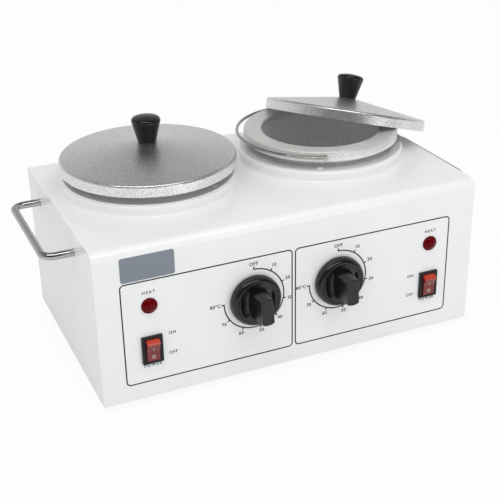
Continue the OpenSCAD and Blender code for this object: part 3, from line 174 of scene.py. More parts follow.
def sweep(path, section, up, ring=False):
    """Section carried along a path: point = path + side * u + top * v, where side is square
    to the path and to up, and top to both. An open path is closed at its ends by a fan."""
    path = np.asarray(path, float)
    if ring:
        way = np.roll(path, -1, 0) - np.roll(path, 1, 0)
    else:
        way = np.gradient(path, axis=0)
    way /= np.linalg.norm(way, axis=1)[:, None]
    side = np.cross(way, np.asarray(up, float))
    side /= np.linalg.norm(side, axis=1)[:, None]
    top = np.cross(side, way)
    section = np.asarray(section, float)
    grid = (path[:, None] + side[:, None] * section[None, :, :1]
            + top[:, None] * section[None, :, 1:])
    if not ring:
        ends = np.repeat(path[[0, -1]][:, None], len(section), 1)
        grid = np.concatenate([ends[:1], grid, ends[1:]])
    return shell(grid, ring=ring)


def rectangle(width, height):
    """Section of a flat strip, width across and height up."""
    return 0.5 * np.array([[-width, -height], [width, -height], [width, height],
                           [-width, height]])


def rounded_rectangle(width, height, radius):
    """Outline (x, z) of a rectangle about the origin whose corners are arcs of a quarter
    turn: point = middle of the arc + radius (cos a, sin a)."""
    w, h = width / 2 - radius, height / 2 - radius
    a = np.linspace(0, np.pi / 2, CORNER_STEPS + 1)
    corners = ((-w, -h, np.pi), (w, -h, 1.5 * np.pi), (w, h, 0.0), (-w, h, 0.5 * np.pi))
    return np.concatenate([np.stack([x + radius * np.cos(a + start),
                                     z + radius * np.sin(a + start)], -1)
                           for x, z, start in corners])


def pad(width, height, radius, levels, centre):
    """Closed slab on the front: rounded rectangles drawn in by an inset at each level, each
    level a pair (inset, distance in front of centre), closed to a point at both ends."""
    rows = []
    for inset, out in levels:
        edge = rounded_rectangle(width - 2 * inset, height - 2 * inset,
                                 max(radius - inset, 0))
        rows.append(np.stack([edge[:, 0], np.full(len(edge), -out), edge[:, 1]], -1))
    ends = [np.zeros_like(rows[0]) + [0, -levels[k][1], 0] for k in (0, -1)]
    return shell(np.stack([ends[0], *rows, ends[1]]) + np.asarray(centre, float))


def moved(part, matrix):
    """A shell's points carried through a 4 x 4 matrix."""
    points, faces = part
    m = np.array(matrix)
    return points @ m[:3, :3].T + m[:3, 3], faces


def piece(name, parts, body, mat, stands_for=(), sharp=40.0):
    """Object made of shells: doubles merged, faces outward, smooth below the sharp angle. It
    rides on a body and may stand for CAD nodes."""
    points = np.concatenate([p for p, _ in parts])
    starts = np.cumsum([0] + [len(p) for p, _ in parts[:-1]])
    faces = np.concatenate([f + start for (_, f), start in zip(parts, starts)])
    mesh = bpy.data.meshes.new(name)
    mesh.from_pydata(points.tolist(), [], faces.tolist())
    return finish_piece(name, mesh, body, mat, stands_for, sharp)


def finish_piece(name, mesh, body, mat, stands_for=(), sharp=40.0):
    """Cleans a mesh, makes its object and gives it its body and finish."""
    work = bmesh.new()
    work.from_mesh(mesh)
    bmesh.ops.remove_doubles(work, verts=work.verts, dist=1e-6)
    bmesh.ops.dissolve_degenerate(work, edges=work.edges, dist=1e-8)
    bmesh.ops.recalc_face_normals(work, faces=work.faces)
    work.to_mesh(mesh)
    work.free()
    mesh.polygons.foreach_set("use_smooth", np.ones(len(mesh.polygons), bool))
    mesh.set_sharp_from_angle(angle=math.radians(sharp))
    mesh.update()
    obj = bpy.data.objects.new(name, mesh)
    bpy.context.scene.collection.objects.link(obj)
    mesh.materials.append(mat)
    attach(obj, body)
    if stands_for:
        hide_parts(*stands_for)
    return obj


# ---- Finishes ------------------------------------------------------------------------

FLOAT, COLOUR = "NodeSocketFloat", "NodeSocketColor"


def new_group(name, inputs, outputs):
    """Empty shader node group with the named sockets, and its end nodes."""
    tree = bpy.data.node_groups.new(name, "ShaderNodeTree")
    for title, kind, value in inputs:
        socket = tree.interface.new_socket(name=title, in_out="INPUT", socket_type=kind)
        socket.default_value = value
    for title, kind in outputs:
        tree.interface.new_socket(name=title, in_out="OUTPUT", socket_type=kind)
    return tree, tree.nodes.new("NodeGroupInput"), tree.nodes.new("NodeGroupOutput")


def feed(tree, value, socket):
    """Links a socket, or sets it where the value is a number or a colour (r, g, b)."""
    if isinstance(value, (int, float)):
        socket.default_value = value
    elif isinstance(value, tuple):
        socket.default_value = (*value, 1)
    else:
        tree.links.new(value, socket)


def noise(tree, coords, scale, detail, rough=0.5):
    """Noise texture read at coords."""
    node = tree.nodes.new("ShaderNodeTexNoise")
    node.inputs["Detail"].default_value = detail
    node.inputs["Roughness"].default_value = rough
    feed(tree, scale, node.inputs["Scale"])
    tree.links.new(coords, node.inputs["Vector"])
    return node.outputs["Fac"]


def ramp(tree, value, low, high, out_low=0.0, out_high=1.0):
    """Value mapped from low..high to out_low..out_high, kept within them."""
    node = tree.nodes.new("ShaderNodeMapRange")
    node.clamp = True
    for key, number in (("From Min", low), ("From Max", high), ("To Min", out_low),
                        ("To Max", out_high)):
        feed(tree, number, node.inputs[key])
    tree.links.new(value, node.inputs["Value"])
    return node.outputs["Result"]


def sums(tree, operation, a, b):
    """Math node of two values."""
    node = tree.nodes.new("ShaderNodeMath")
    node.operation = operation
    feed(tree, a, node.inputs[0])
    feed(tree, b, node.inputs[1])
    return node.outputs[0]


def blend_colours(tree, factor, a, b, way="MIX"):
    """Two colours mixed, or blended another way, by a factor."""
    node = tree.nodes.new("ShaderNodeMix")
    node.data_type = "RGBA"
    node.blend_type = way
    # A Mix node keeps its colours in inputs 6 and 7 and in output 2
    feed(tree, factor, node.inputs[0])
    feed(tree, a, node.inputs[6])
    feed(tree, b, node.inputs[7])
    return node.outputs[2]


def object_coords(tree):
    """Object coordinates in metres."""
    return tree.nodes.new("ShaderNodeTexCoord").outputs["Object"]


def pebble_group():
    """Cast or hammered metal skin. Two noises, one of the grain's size and one three times
    finer, make the height. The height and a slow noise place the colour between its dark and
    light, and the slow noise and the coarse one vary the roughness."""
    tree, ins, outs = new_group(
        "pebbled skin",
        [("Scale", FLOAT, 900.0), ("Dark", COLOUR, (0.4, 0.4, 0.4, 1)),
         ("Light", COLOUR, (0.6, 0.6, 0.6, 1)), ("Rough Low", FLOAT, 0.3),
         ("Rough High", FLOAT, 0.45)],
        [("Color", COLOUR), ("Roughness", FLOAT), ("Height", FLOAT)])
    coords = object_coords(tree)
    coarse = noise(tree, coords, ins.outputs["Scale"], 1.5, 0.55)
    fine = noise(tree, coords, sums(tree, "MULTIPLY", ins.outputs["Scale"], 3.0), 1.0)
    slow = noise(tree, coords, 24.0, 3.0, 0.6)
    height = sums(tree, "ADD", coarse, sums(tree, "MULTIPLY", fine, 0.35))
    grain = ramp(tree, height, 0.5, 0.85)
    mixed = sums(tree, "ADD", sums(tree, "MULTIPLY", grain, 0.75),
                 sums(tree, "MULTIPLY", slow, 0.3))
    tree.links.new(blend_colours(tree, ramp(tree, mixed, 0.15, 0.85), ins.outputs["Dark"],
                                 ins.outputs["Light"]), outs.inputs["Color"])
    tree.links.new(ramp(tree, sums(tree, "ADD", slow, sums(tree, "MULTIPLY", coarse, 0.3)),
                        0.45, 0.85, ins.outputs["Rough Low"], ins.outputs["Rough High"]),
                   outs.inputs["Roughness"])
    tree.links.new(height, outs.inputs["Height"])
    return tree


def skin_group():
    """Painted, moulded or plated skin. A noise of the given scale makes the orange peel, a
    slow one the smudges that vary the roughness and darken the colour a little."""
    tree, ins, outs = new_group(
        "fine skin",
        [("Scale", FLOAT, 700.0), ("Color", COLOUR, (0.8, 0.8, 0.8, 1)),
         ("Shade", FLOAT, 0.94), ("Rough Low", FLOAT, 0.3), ("Rough High", FLOAT, 0.4)],
        [("Color", COLOUR), ("Roughness", FLOAT), ("Height", FLOAT)])
    coords = object_coords(tree)
    peel = noise(tree, coords, ins.outputs["Scale"], 2.0, 0.5)
    smudge = ramp(tree, noise(tree, coords, 22.0, 4.0, 0.62), 0.35, 0.7)
    grey = tree.nodes.new("ShaderNodeCombineColor")
    level = ramp(tree, smudge, 0.0, 1.0, ins.outputs["Shade"], 1.0)
    for channel in grey.inputs:
        tree.links.new(level, channel)
    tree.links.new(blend_colours(tree, 1.0, ins.outputs["Color"], grey.outputs[0], "MULTIPLY"),
                   outs.inputs["Color"])
    tree.links.new(ramp(tree, sums(tree, "ADD", smudge, sums(tree, "MULTIPLY", peel, 0.4)),
                        0.1, 1.2, ins.outputs["Rough Low"], ins.outputs["Rough High"]),
                   outs.inputs["Roughness"])
    tree.links.new(peel, outs.inputs["Height"])
    return tree


GROUPS = {}


def group(name):
    """The shader node group of that name, built once."""
    if name not in GROUPS:
        GROUPS[name] = {"pebble": pebble_group, "skin": skin_group}[name]()
    return GROUPS[name]


def material(name, group_name, values, bump=0.0, depth=0.1 * MM, **sockets):
    """Principled material fed by a group: colour, roughness and a bump of the given strength
    and depth in metres. Other sockets are constants set on the shader."""
    mat = bpy.data.materials.get(name)
    if mat:
        return mat
    mat = bpy.data.materials.new(name)
    mat.use_nodes = True
    tree = mat.node_tree
    shader = tree.nodes["Principled BSDF"]
    skin = tree.nodes.new("ShaderNodeGroup")
    skin.node_tree = group(group_name)
    for key, value in values.items():
        feed(tree, value, skin.inputs[key])
    tree.links.new(skin.outputs["Color"], shader.inputs["Base Color"])
    tree.links.new(skin.outputs["Roughness"], shader.inputs["Roughness"])
    if bump:
        node = tree.nodes.new("ShaderNodeBump")
        node.inputs["Strength"].default_value = bump
        node.inputs["Distance"].default_value = depth
        tree.links.new(skin.outputs["Height"], node.inputs["Height"])
        tree.links.new(node.outputs["Normal"], shader.inputs["Normal"])
    for key, value in sockets.items():
        shader.inputs[key.replace("_", " ")].default_value = value
    return mat


def by_height(mat, socket, low, high, below, above):
    """Feeds a colour to a socket of a material's group that turns from one to the other
    between two heights on the piece."""
    tree = mat.node_tree
    skin = next(node for node in tree.nodes if node.type == "GROUP")
    split = tree.nodes.new("ShaderNodeSeparateXYZ")
    tree.links.new(object_coords(tree), split.inputs[0])
    mask = ramp(tree, split.outputs[2], low, high)
    tree.links.new(blend_colours(tree, mask, below, above), skin.inputs[socket])


def shade(colour, factor):
    """Colour times a factor."""
    return tuple(min(1.0, c * factor) for c in colour)


def colours():
    """The scene's colours."""
    return bpy.context.scene.warmer_colours


def sizes():
    """The scene's sizes."""
    return bpy.context.scene.warmer_sizes


def enamel():
    """White powder coat with a light orange peel."""
    return material("white enamel", "skin",
                    {"Scale": 620.0, "Color": tuple(colours().enamel), "Shade": 0.975,
                     "Rough Low": 0.28, "Rough High": 0.36}, bump=0.12, depth=0.06 * MM,
                    Coat_Weight=0.25, Coat_Roughness=0.12, Specular_IOR_Level=0.5)


def lid_metal():
    """Finely pebbled aluminium of the lids."""
    base = tuple(colours().lid)
    return material("pebbled aluminium", "pebble",
                    {"Scale": 1 / sizes().pebble, "Dark": shade(base, 0.78),
                     "Light": shade(base, 1.25), "Rough Low": 0.28, "Rough High": 0.38},
                    bump=0.5, depth=0.12 * MM, Metallic=1.0)


# How far under a pot's rim the flange's darker colour starts to take over from the painted
# light inside the pot, and where it is complete
INSIDE_LIGHT_FADE = (7 * MM, 4 * MM)


def pot_metal():
    """Satin grained aluminium of the pots, lighter inside, which is painted light standing in
    for the light that reaches the inside, and darker on the flange.
    """
    name = "satin aluminium"
    if name in bpy.data.materials:
        return bpy.data.materials[name]
    mat = material(name, "pebble", {"Scale": 1000.0, "Rough Low": 0.38, "Rough High": 0.5},
                   bump=0.4, depth=0.1 * MM, Metallic=0.45)
    # Painted light: the inside of the pot gets a lighter colour than the flange, standing in
    # for light inside the pot
    bright, flange_colour = tuple(colours().pot), tuple(colours().flange)
    low, high = (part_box("right_pot")[1].z - depth for depth in INSIDE_LIGHT_FADE)
    for socket, factor in (("Dark", 0.86), ("Light", 1.12)):
        by_height(mat, socket, low, high, shade(bright, factor), shade(flange_colour, factor))
    return mat


def well_metal():
    """Smoother cast aluminium of the wells."""
    base = tuple(colours().well)
    return material("cast aluminium", "pebble",
                    {"Scale": 1300.0, "Dark": shade(base, 0.86), "Light": shade(base, 1.12),
                     "Rough Low": 0.3, "Rough High": 0.42}, bump=0.25, depth=0.06 * MM,
                    Metallic=0.4)


def chrome():
    """Bright chrome with faint handling marks."""
    return material("chrome", "skin",
                    {"Scale": 300.0, "Color": tuple(colours().chrome), "Shade": 0.96,
                     "Rough Low": 0.06, "Rough High": 0.12}, Metallic=1.0)


def wire_metal():
    """Drawn steel wire of the bails."""
    return material("drawn wire", "skin",
                    {"Scale": 900.0, "Color": tuple(colours().wire), "Shade": 0.85,
                     "Rough Low": 0.08, "Rough High": 0.16}, bump=0.1, depth=0.03 * MM,
                    Metallic=1.0)


def zinc():
    """Zinc plated steel of screws, nuts, straps and the base."""
    return material("zinc plate", "pebble",
                    {"Scale": 700.0, "Dark": (0.42, 0.43, 0.45), "Light": (0.62, 0.62, 0.6),
                     "Rough Low": 0.28, "Rough High": 0.45}, bump=0.1, depth=0.03 * MM,
                    Metallic=1.0)


def knob_black():
    """Black phenolic of the knobs and dials, satin, with a faint moulded grain."""
    return material("black phenolic", "skin",
                    {"Scale": 1500.0, "Color": tuple(colours().knob), "Shade": 0.7,
                     "Rough Low": 0.17, "Rough High": 0.28}, bump=0.18, depth=0.05 * MM,
                    Specular_IOR_Level=0.5)


def housing_black():
    """Black nylon of the switch housings and the mains inlet."""
    return material("black nylon", "skin",
                    {"Scale": 1100.0, "Color": (0.008, 0.008, 0.009), "Shade": 0.8,
                     "Rough Low": 0.34, "Rough High": 0.5}, bump=0.2, depth=0.05 * MM,
                    Specular_IOR_Level=0.3)


# Heights over a rocker's pivot between which its red turns from a painted shade to a painted
# lit red
ROCKER_PAINTED_LIGHT = (4.6 * MM, 6.4 * MM)


def rocker_red():
    """Translucent red plastic of the rockers, with painted light. Object height drives the
    colour: the end that stands out gets a painted lit red, and the rest a painted shade."""
    name = "red polycarbonate"
    if name in bpy.data.materials:
        return bpy.data.materials[name]
    mat = material(name, "skin",
                   {"Scale": 500.0, "Shade": 0.85, "Rough Low": 0.22, "Rough High": 0.36},
                   bump=0.08, depth=0.04 * MM, Coat_Weight=0.15, Coat_Roughness=0.15)
    # Painted light and shade: shaded red low on the rocker, lit red on the end that stands out
    low, high = (SWITCH["left"].z + rise for rise in ROCKER_PAINTED_LIGHT)
    by_height(mat, "Color", low, high, tuple(colours().rocker_painted_shade), tuple(colours().rocker))
    return mat


def lens_red():
    """Dark red lens of the lamps."""
    return material("red lens", "skin",
                    {"Scale": 300.0, "Color": tuple(colours().lens), "Shade": 0.8,
                     "Rough Low": 0.08, "Rough High": 0.16}, bump=0.04, depth=0.03 * MM,
                    Specular_IOR_Level=0.08)


def plate_face():
    """Bluish grey satin face of the bare name plate."""
    base = tuple(colours().plate)
    return material("satin plate", "pebble",
                    {"Scale": 1500.0, "Dark": shade(base, 0.93), "Light": shade(base, 1.07),
                     "Rough Low": 0.3, "Rough High": 0.4}, bump=0.08, depth=0.03 * MM,
                    Metallic=0.35, Coat_Weight=0.3, Coat_Roughness=0.15)


def print_ink(name, colour):
    """Screen print that lies slightly proud of the enamel."""
    return material(name, "skin",
                    {"Scale": 1800.0, "Color": colour, "Shade": 0.8, "Rough Low": 0.5,
                     "Rough High": 0.65}, Specular_IOR_Level=0.15)


def plain(name, colour, low, high, scale=900.0, bump=0.15, metallic=0.0):
    """Even finish of a smaller piece, its roughness between low and high."""
    return material(name, "skin", {"Scale": scale, "Color": colour, "Shade": 0.85,
                                   "Rough Low": low, "Rough High": high},
                    bump=bump, depth=0.06 * MM, Metallic=metallic)


def woven(name, colour):
    """Coarse fibrous finish of the insulation."""
    return material(name, "pebble", {"Scale": 350.0, "Dark": shade(colour, 0.7),
                                     "Light": colour, "Rough Low": 0.85, "Rough High": 0.95},
                    bump=0.8, depth=0.5 * MM)


def dress(node, mat):
    """Gives a CAD node its finish."""
    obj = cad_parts[node]
    for slot in obj.material_slots:
        slot.material = mat


# ---- Casing and what is inside -------------------------------------------------------


class WARMER_OT_casing(bpy.types.Operator):
    """Finish the casing, its base and feet"""
    bl_idname = "warmer.casing"
    bl_label = "Casing"

    def execute(self, context):
        for node in ("casing_wrap", "left_side_panel", "right_side_panel"):
            dress(node, enamel())
        dress("base_plate", zinc())
        dress("rubber_feet", plain("black rubber", (0.03, 0.03, 0.032), 0.6, 0.8, scale=700.0,
                                   bump=0.4))
        for node in ("base_screws", "foot_screws", "handle_nuts", "earth_stud", "inlet_screws"):
            dress(node, zinc())
        return {"FINISHED"}


class WARMER_OT_inside(bpy.types.Operator):
    """Finish the heaters, sensors, terminals and wiring inside the casing"""
    bl_idname = "warmer.inside"
    bl_label = "Inside"

    def execute(self, context):
        mica = plain("mica band", (0.42, 0.36, 0.2), 0.3, 0.5, scale=500.0, bump=0.2,
                     metallic=0.6)
        wool = woven("mineral wool", (0.62, 0.56, 0.42))
        ceramic = plain("ivory ceramic", (0.72, 0.68, 0.58), 0.25, 0.4)
        copper = plain("copper tube", (0.62, 0.28, 0.14), 0.25, 0.4, bump=0.1, metallic=1.0)
        brass = plain("brass screw", (0.68, 0.5, 0.2), 0.25, 0.4, bump=0.1, metallic=1.0)
        silicone = plain("silicone lead", (0.36, 0.13, 0.07), 0.45, 0.6)
        switch_body = plain("grey nylon", (0.45, 0.45, 0.44), 0.4, 0.55)
        for side in SIDES:
            dress(side + "_heater_band", mica)
            dress(side + "_insulation", wool)
            dress(side + "_sensing_bulb", copper)
            dress(side + "_thermostat", switch_body)
            dress(side + "_wiring", silicone)
            dress(side + "_dial_shaft", zinc())
        dress("supply_wiring", silicone)
        dress("thermal_fuses", ceramic)
        dress("terminal_block", ceramic)
        dress("terminal_screws", brass)
        dress("lamp_bodies", ceramic)
        for node in ("band_screws", "sensor_straps", "strap_nuts", "thermostat_screws"):
            dress(node, zinc())
        return {"FINISHED"}


class WARMER_OT_inlet(bpy.types.Operator):
    """Finish the mains inlet"""
    bl_idname = "warmer.inlet"
    bl_label = "Mains inlet"

    def execute(self, context):
        dress("inlet_housing", housing_black())
        dress("inlet_pins", plain("nickel contact", (0.66, 0.63, 0.56), 0.2, 0.32, bump=0.1,
                                  metallic=1.0))
        return {"FINISHED"}


# ---- Print and name plate ------------------------------------------------------------

# Numerals of a dial's scale, clockwise from the top, and the angle between two of them
SCALE_MARKS = ("OFF", "10", "20", "30", "40", "50", "60", "70", "80°C")
SCALE_STEP = math.radians(33.75)
# Points of the printed arc for each step of the scale
ARC_POINTS = 18
# Left and right edges of the two printed frames, and the lower and upper edges of both
FRAMES = ((-130.0 * MM, -3.6 * MM), (-1.0 * MM, 126.5 * MM))
FRAME_Z = (17.8 * MM, 96.0 * MM)
# A numeral's middle stands off its mark by these shares of its height: always, and for each
# letter where the scale runs sideways
NUMERAL_GAP = 0.85
NUMERAL_REACH = 0.25
NUMERAL_SPACING = 1.1
# Labels of a switch: word, way from its middle towards the dial, way up, letter spacing
SWITCH_LABELS = (("ON", 15.2 * MM, 9.2 * MM, 1.2), ("OFF", 15.2 * MM, -6.6 * MM, 1.2),
                 ("POWER", 0.0, -12.7 * MM, 1.3))
# Label of a lamp: word, way up from its middle, letter spacing
LAMP_LABEL = ("HEAT", 10.0 * MM, 1.35)
# Height of a capital as a share of the font's size, and how far its outline is swollen as a
# share of its height
CAPITAL = 0.69
SWELL = 0.03
# Edge of the name plate from its foot to its face: inset, and share of its thickness
PLATE_EDGE = ((0, 0), (0, 0.6), (0.08 * MM, 0.85), (0.22 * MM, 0.97), (0.5 * MM, 1))


def on_front(x, z, out):
    """Point at a distance out in front of the front."""
    return (x, FRONT - out, z)


def line(path, width, depth, ring=False):
    """Printed line: a flat strip carried along a path on the front."""
    return sweep(path, rectangle(width, depth), (0, -1, 0), ring)


def printed_frame(x0, x1, z0, z1, corner, width, depth):
    """Thin line round a rectangle with round corners."""
    edge = rounded_rectangle(x1 - x0, z1 - z0, corner)
    path = np.stack([edge[:, 0] + (x0 + x1) / 2, np.full(len(edge), FRONT - depth / 2),
                     edge[:, 1] + (z0 + z1) / 2], -1)
    return line(path, width, depth, ring=True)


def dial_scale(centre, radius, tick, width, depth):
    """Arc of three quarters of a turn clockwise from the top, with a mark outwards at each
    step: point = centre + radius (sin a, cos a)."""
    steps = len(SCALE_MARKS) - 1
    a = np.linspace(0, SCALE_STEP * steps, ARC_POINTS * steps + 1)
    y = FRONT - depth / 2
    arc = np.stack([centre.x + radius * np.sin(a), np.full_like(a, y),
                    centre.z + radius * np.cos(a)], -1)
    parts = [line(arc, width, depth)]
    for i in range(len(SCALE_MARKS)):
        way = np.array([math.sin(i * SCALE_STEP), 0, math.cos(i * SCALE_STEP)])
        start = np.array([centre.x, y, centre.z]) + way * (radius - width / 2)
        parts.append(line([start, start + way * (tick + width / 2)], width, depth))
    return parts


def lettering(words, depth):
    """Meshes of upright words on the front, each a (text, x, z, height, letter spacing)."""
    parts = []
    for text, x, z, height, spacing in words:
        curve = bpy.data.curves.new("word", "FONT")
        curve.body = text
        curve.size = height / CAPITAL
        curve.align_x, curve.align_y = "CENTER", "CENTER"
        curve.extrude = depth / 2
        curve.resolution_u = 3
        curve.offset = SWELL * height
        curve.space_character = spacing
        obj = bpy.data.objects.new("word", curve)
        bpy.context.scene.collection.objects.link(obj)
        mesh = bpy.data.meshes.new_from_object(obj.evaluated_get(
            bpy.context.evaluated_depsgraph_get()))
        mesh.transform(Matrix.Translation(on_front(x, z, depth / 2))
                       @ Matrix.Rotation(math.pi / 2, 4, "X"))
        parts.append(mesh)
        bpy.data.objects.remove(obj)
        bpy.data.curves.remove(curve)
    return parts


def word_piece(name, words, depth, mat):
    """Piece made of words printed on the front."""
    work = bmesh.new()
    for mesh in lettering(words, depth):
        work.from_mesh(mesh)
        bpy.data.meshes.remove(mesh)
    mesh = bpy.data.meshes.new(name)
    work.to_mesh(mesh)
    work.free()
    return finish_piece(name, mesh, "casing", mat)


class WARMER_OT_print(bpy.types.Operator):
    """Print the frames, the dial scales and the plain labels on the front"""
    bl_idname = "warmer.print"
    bl_label = "Print"

    def execute(self, context):
        s = sizes()
        black = print_ink("black print", tuple(colours().ink))
        red = print_ink("red print", tuple(colours().red_ink))
        parts = [printed_frame(x0, x1, *FRAME_Z, s.frame_r, s.line_w, s.ink_t)
                 for x0, x1 in FRAMES]
        words, heat = [], []
        for side in SIDES:
            dial, switch, lamp = DIAL[side], SWITCH[side], LAMP[side]
            parts += dial_scale(dial, s.scale_r, s.tick_l, s.line_w, s.ink_t)
            for i, text in enumerate(SCALE_MARKS):
                a = i * SCALE_STEP
                off = NUMERAL_GAP + NUMERAL_REACH * len(text) * abs(math.sin(a))
                reach = s.scale_r + s.tick_l + s.numeral_h * off
                words.append((text, dial.x + reach * math.sin(a),
                              dial.z + reach * math.cos(a), s.numeral_h, NUMERAL_SPACING))
            words += [(text, switch.x - sign(side) * inward, switch.z + up, s.label_h, spacing)
                      for text, inward, up, spacing in SWITCH_LABELS]
            text, up, spacing = LAMP_LABEL
            heat.append((text, lamp.x, lamp.z + up, s.label_h, spacing))
        piece("panel_lines", parts, "casing", black)
        word_piece("panel_numerals", words, s.ink_t, black)
        word_piece("lamp_labels", heat, s.ink_t, red)
        return {"FINISHED"}


class WARMER_OT_name_plate(bpy.types.Operator):
    """Build the bare name plate with its round corners"""
    bl_idname = "warmer.name_plate"
    bl_label = "Name plate"

    def execute(self, context):
        low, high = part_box("name_plate")
        centre = ((low.x + high.x) / 2, high.y, (low.z + high.z) / 2)
        levels = [(inset, share * (high.y - low.y)) for inset, share in PLATE_EDGE]
        face = pad(high.x - low.x, high.z - low.z, sizes().plate_r, levels, centre)
        piece("name_plate_face", [face], "casing", plate_face(),
              ("name_plate",))
        return {"FINISHED"}


# ---- Handles, pots and lids ----------------------------------------------------------


class WARMER_OT_handles(bpy.types.Operator):
    """Finish the carry handles"""
    bl_idname = "warmer.handles"
    bl_label = "Carry handles"

    def execute(self, context):
        for side in SIDES:
            dress(side + "_handle", chrome())
        return {"FINISHED"}


class WARMER_OT_pots(bpy.types.Operator):
    """Finish the wells, the pots and their bails"""
    bl_idname = "warmer.pots"
    bl_label = "Wells and pots"

    def execute(self, context):
        for side in SIDES:
            dress(side + "_well", well_metal())
            dress(side + "_pot", pot_metal())
            dress(side + "_bail", wire_metal())
        dress("well_rivets", well_metal())
        return {"FINISHED"}


class WARMER_OT_lids(bpy.types.Operator):
    """Finish the lids, their knobs and their screws"""
    bl_idname = "warmer.lids"
    bl_label = "Lids and knobs"

    def execute(self, context):
        for side in SIDES:
            dress(side + "_lid", lid_metal())
            dress(side + "_lid_knob", knob_black())
            dress(side + "_lid_screw", zinc())
        return {"FINISHED"}


# ---- Dials, switches and lamps -------------------------------------------------------

# Disc of a dial: height of its rim over the panel, width of the bevel round its face, and
# height and width of the step inside the bevel
DISC_RIM = 2.8 * MM
BEVEL = 3.3 * MM
STEP_HIGH = 0.35 * MM
STEP_WIDE = 0.5 * MM
# Lower edge of a disc: inset and height of each point of its rounding
DISC_FOOT = ((0.12 * MM, 0.15 * MM), (0.4 * MM, 0.0))
# Finger hollow: half its length, distance of its middle from the grip's, half its width, and
# the distances from the disc's middle between which it runs out
HOLLOW_LONG = 7.8 * MM
HOLLOW_OFF = 9.2 * MM
HOLLOW_WIDE = 3.0 * MM
HOLLOW_ENDS = (12.4 * MM, 14.6 * MM)
# Grip of a dial: half its width and the radius of its ends, at the foot and at the top, the
# height of the foot over the panel, and the rounding of the top edge
GRIP_FOOT = (7.3 * MM, 11.7 * MM)
GRIP_TOP = (4.55 * MM, 10.1 * MM)
GRIP_LOW = 5 * MM
GRIP_FILLET = 0.7 * MM
# How fast a grip's width falls near its foot, and how square its outline is
GRIP_WAIST = 1.7
GRIP_SQUARE = 24.0
# Hollow in a grip's top: share of the outline, and depth
GRIP_DISH = ((0.8, 0.12 * MM), (0.4, 0.2 * MM), (0.0, 0.22 * MM))
# Marks of a rocker: height, width of the line, thickness
MARK_H = 2.5 * MM
MARK_W = 0.4 * MM
MARK_T = 0.06 * MM
# A rocker's two faces meet this far in front of its pivot; its marks lie this far above and
# below that line
ROCKER_VALLEY = 3 * MM
MARK_ABOVE = 2.0 * MM
MARK_BELOW = 4.2 * MM


def smooth_step(x, low, high):
    """0 below low, 1 above high, and a smooth rise between."""
    t = np.clip((x - low) / (high - low), 0, 1)
    return t * t * (3 - 2 * t)


def dial_disc(radius, face, lowest, hollow):
    """Closed disc in its own frame (along, across, out). On the face the height is the level
    of the face, less an elliptical bevel at the edge, a shallow step inside the bevel and a
    finger hollow on each side of the grip; a short wall and the underside close it."""
    a = np.linspace(0, 2 * np.pi, 300, endpoint=False)
    # The rings lie closer together on the bevel
    r = radius * np.concatenate([[0], np.linspace(0.03, 0.8, 34), np.linspace(0.81, 1, 26)])
    u, v = np.outer(r, np.cos(a)), np.outer(r, np.sin(a))
    edge = np.clip((r - radius + BEVEL) / BEVEL, 0, 1)
    level = face - (face - DISC_RIM) * (1 - np.sqrt(1 - edge ** 2))
    level -= STEP_HIGH * (1 - smooth_step(r, radius - BEVEL - STEP_WIDE, radius - BEVEL))
    dip = (np.exp(-(u / HOLLOW_LONG) ** 4)
           * np.exp(-((np.abs(v) - HOLLOW_OFF) / HOLLOW_WIDE) ** 4)
           * (1 - smooth_step(np.hypot(u, v), *HOLLOW_ENDS)))
    rows = [np.stack([u, v, level[:, None] - hollow * dip], -1)]
    foot = [(radius, (DISC_RIM + lowest) / 2),
            *((radius - inset, lowest + rise) for inset, rise in DISC_FOOT),
            (radius / 2, lowest), (0, lowest)]
    rows += [np.stack([k * np.cos(a), k * np.sin(a), np.full_like(a, z)], -1)[None]
             for k, z in foot]
    return shell(np.concatenate(rows))


def dial_grip(high):
    """Closed grip in the dial's frame, up to a height. At each height its outline is a bar
    with round ends, distance = ((|sin a| / w) ** n + (1 / r) ** n) ** (-1 / n), where the
    half width w and the radius r of the ends shrink from the foot to the top, the width
    faster near the disc. The outline draws in round the top edge and closes over a slightly
    hollow top."""
    a = np.linspace(0, 2 * np.pi, 288, endpoint=False)
    turn = np.linspace(0, np.pi / 2, 8)[1:]
    wall = np.linspace(GRIP_LOW, high - GRIP_FILLET, 26)
    level = np.concatenate([wall, high - GRIP_FILLET * (1 - np.sin(turn))])
    inset = np.concatenate([np.zeros_like(wall), GRIP_FILLET * (1 - np.cos(turn))])
    left = 1 - (level - GRIP_LOW) / (high - GRIP_LOW)
    w = GRIP_TOP[0] + (GRIP_FOOT[0] - GRIP_TOP[0]) * left ** GRIP_WAIST - inset
    r = GRIP_TOP[1] + (GRIP_FOOT[1] - GRIP_TOP[1]) * left - inset
    n = GRIP_SQUARE
    reach = ((np.abs(np.sin(a))[None] / w[:, None]) ** n + (1 / r[:, None]) ** n) ** (-1 / n)
    share, depth = np.array(GRIP_DISH).T[:, :, None]
    reach = np.concatenate([0 * reach[:1], reach, share * reach[-1]])
    z = np.concatenate([level[:1], level, high - depth[:, 0]])
    z = np.repeat(z[:, None], len(a), 1)
    return shell(np.stack([reach * np.cos(a), reach * np.sin(a), z], -1))


def dial_place(side):
    """Matrix from a dial's frame (along, across, out) to its place on the front."""
    turn = math.radians(DIAL_SET)
    sin, cos = math.sin(turn), math.cos(turn)
    at = DIAL[side]
    return Matrix(((sin, cos, 0, at.x), (0, 0, -1, FRONT), (cos, -sin, 0, at.z), (0, 0, 0, 1)))


class WARMER_OT_dials(bpy.types.Operator):
    """Build the dial knobs: a bevelled disc with finger hollows, and a tall waisted grip"""
    bl_idname = "warmer.dials"
    bl_label = "Dial knobs"

    def execute(self, context):
        s = sizes()
        for side in SIDES:
            low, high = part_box(side + "_dial_knob")
            disc = dial_disc((high.x - low.x) / 2, s.disc_h, FRONT - high.y, s.hollow)
            grip = dial_grip(s.grip_h)
            place = dial_place(side)
            piece(side + "_dial_face", [moved(disc, place), moved(grip, place)],
                  side + "_dial", knob_black(), (side + "_dial_knob",),
                  sharp=50.0)
        return {"FINISHED"}


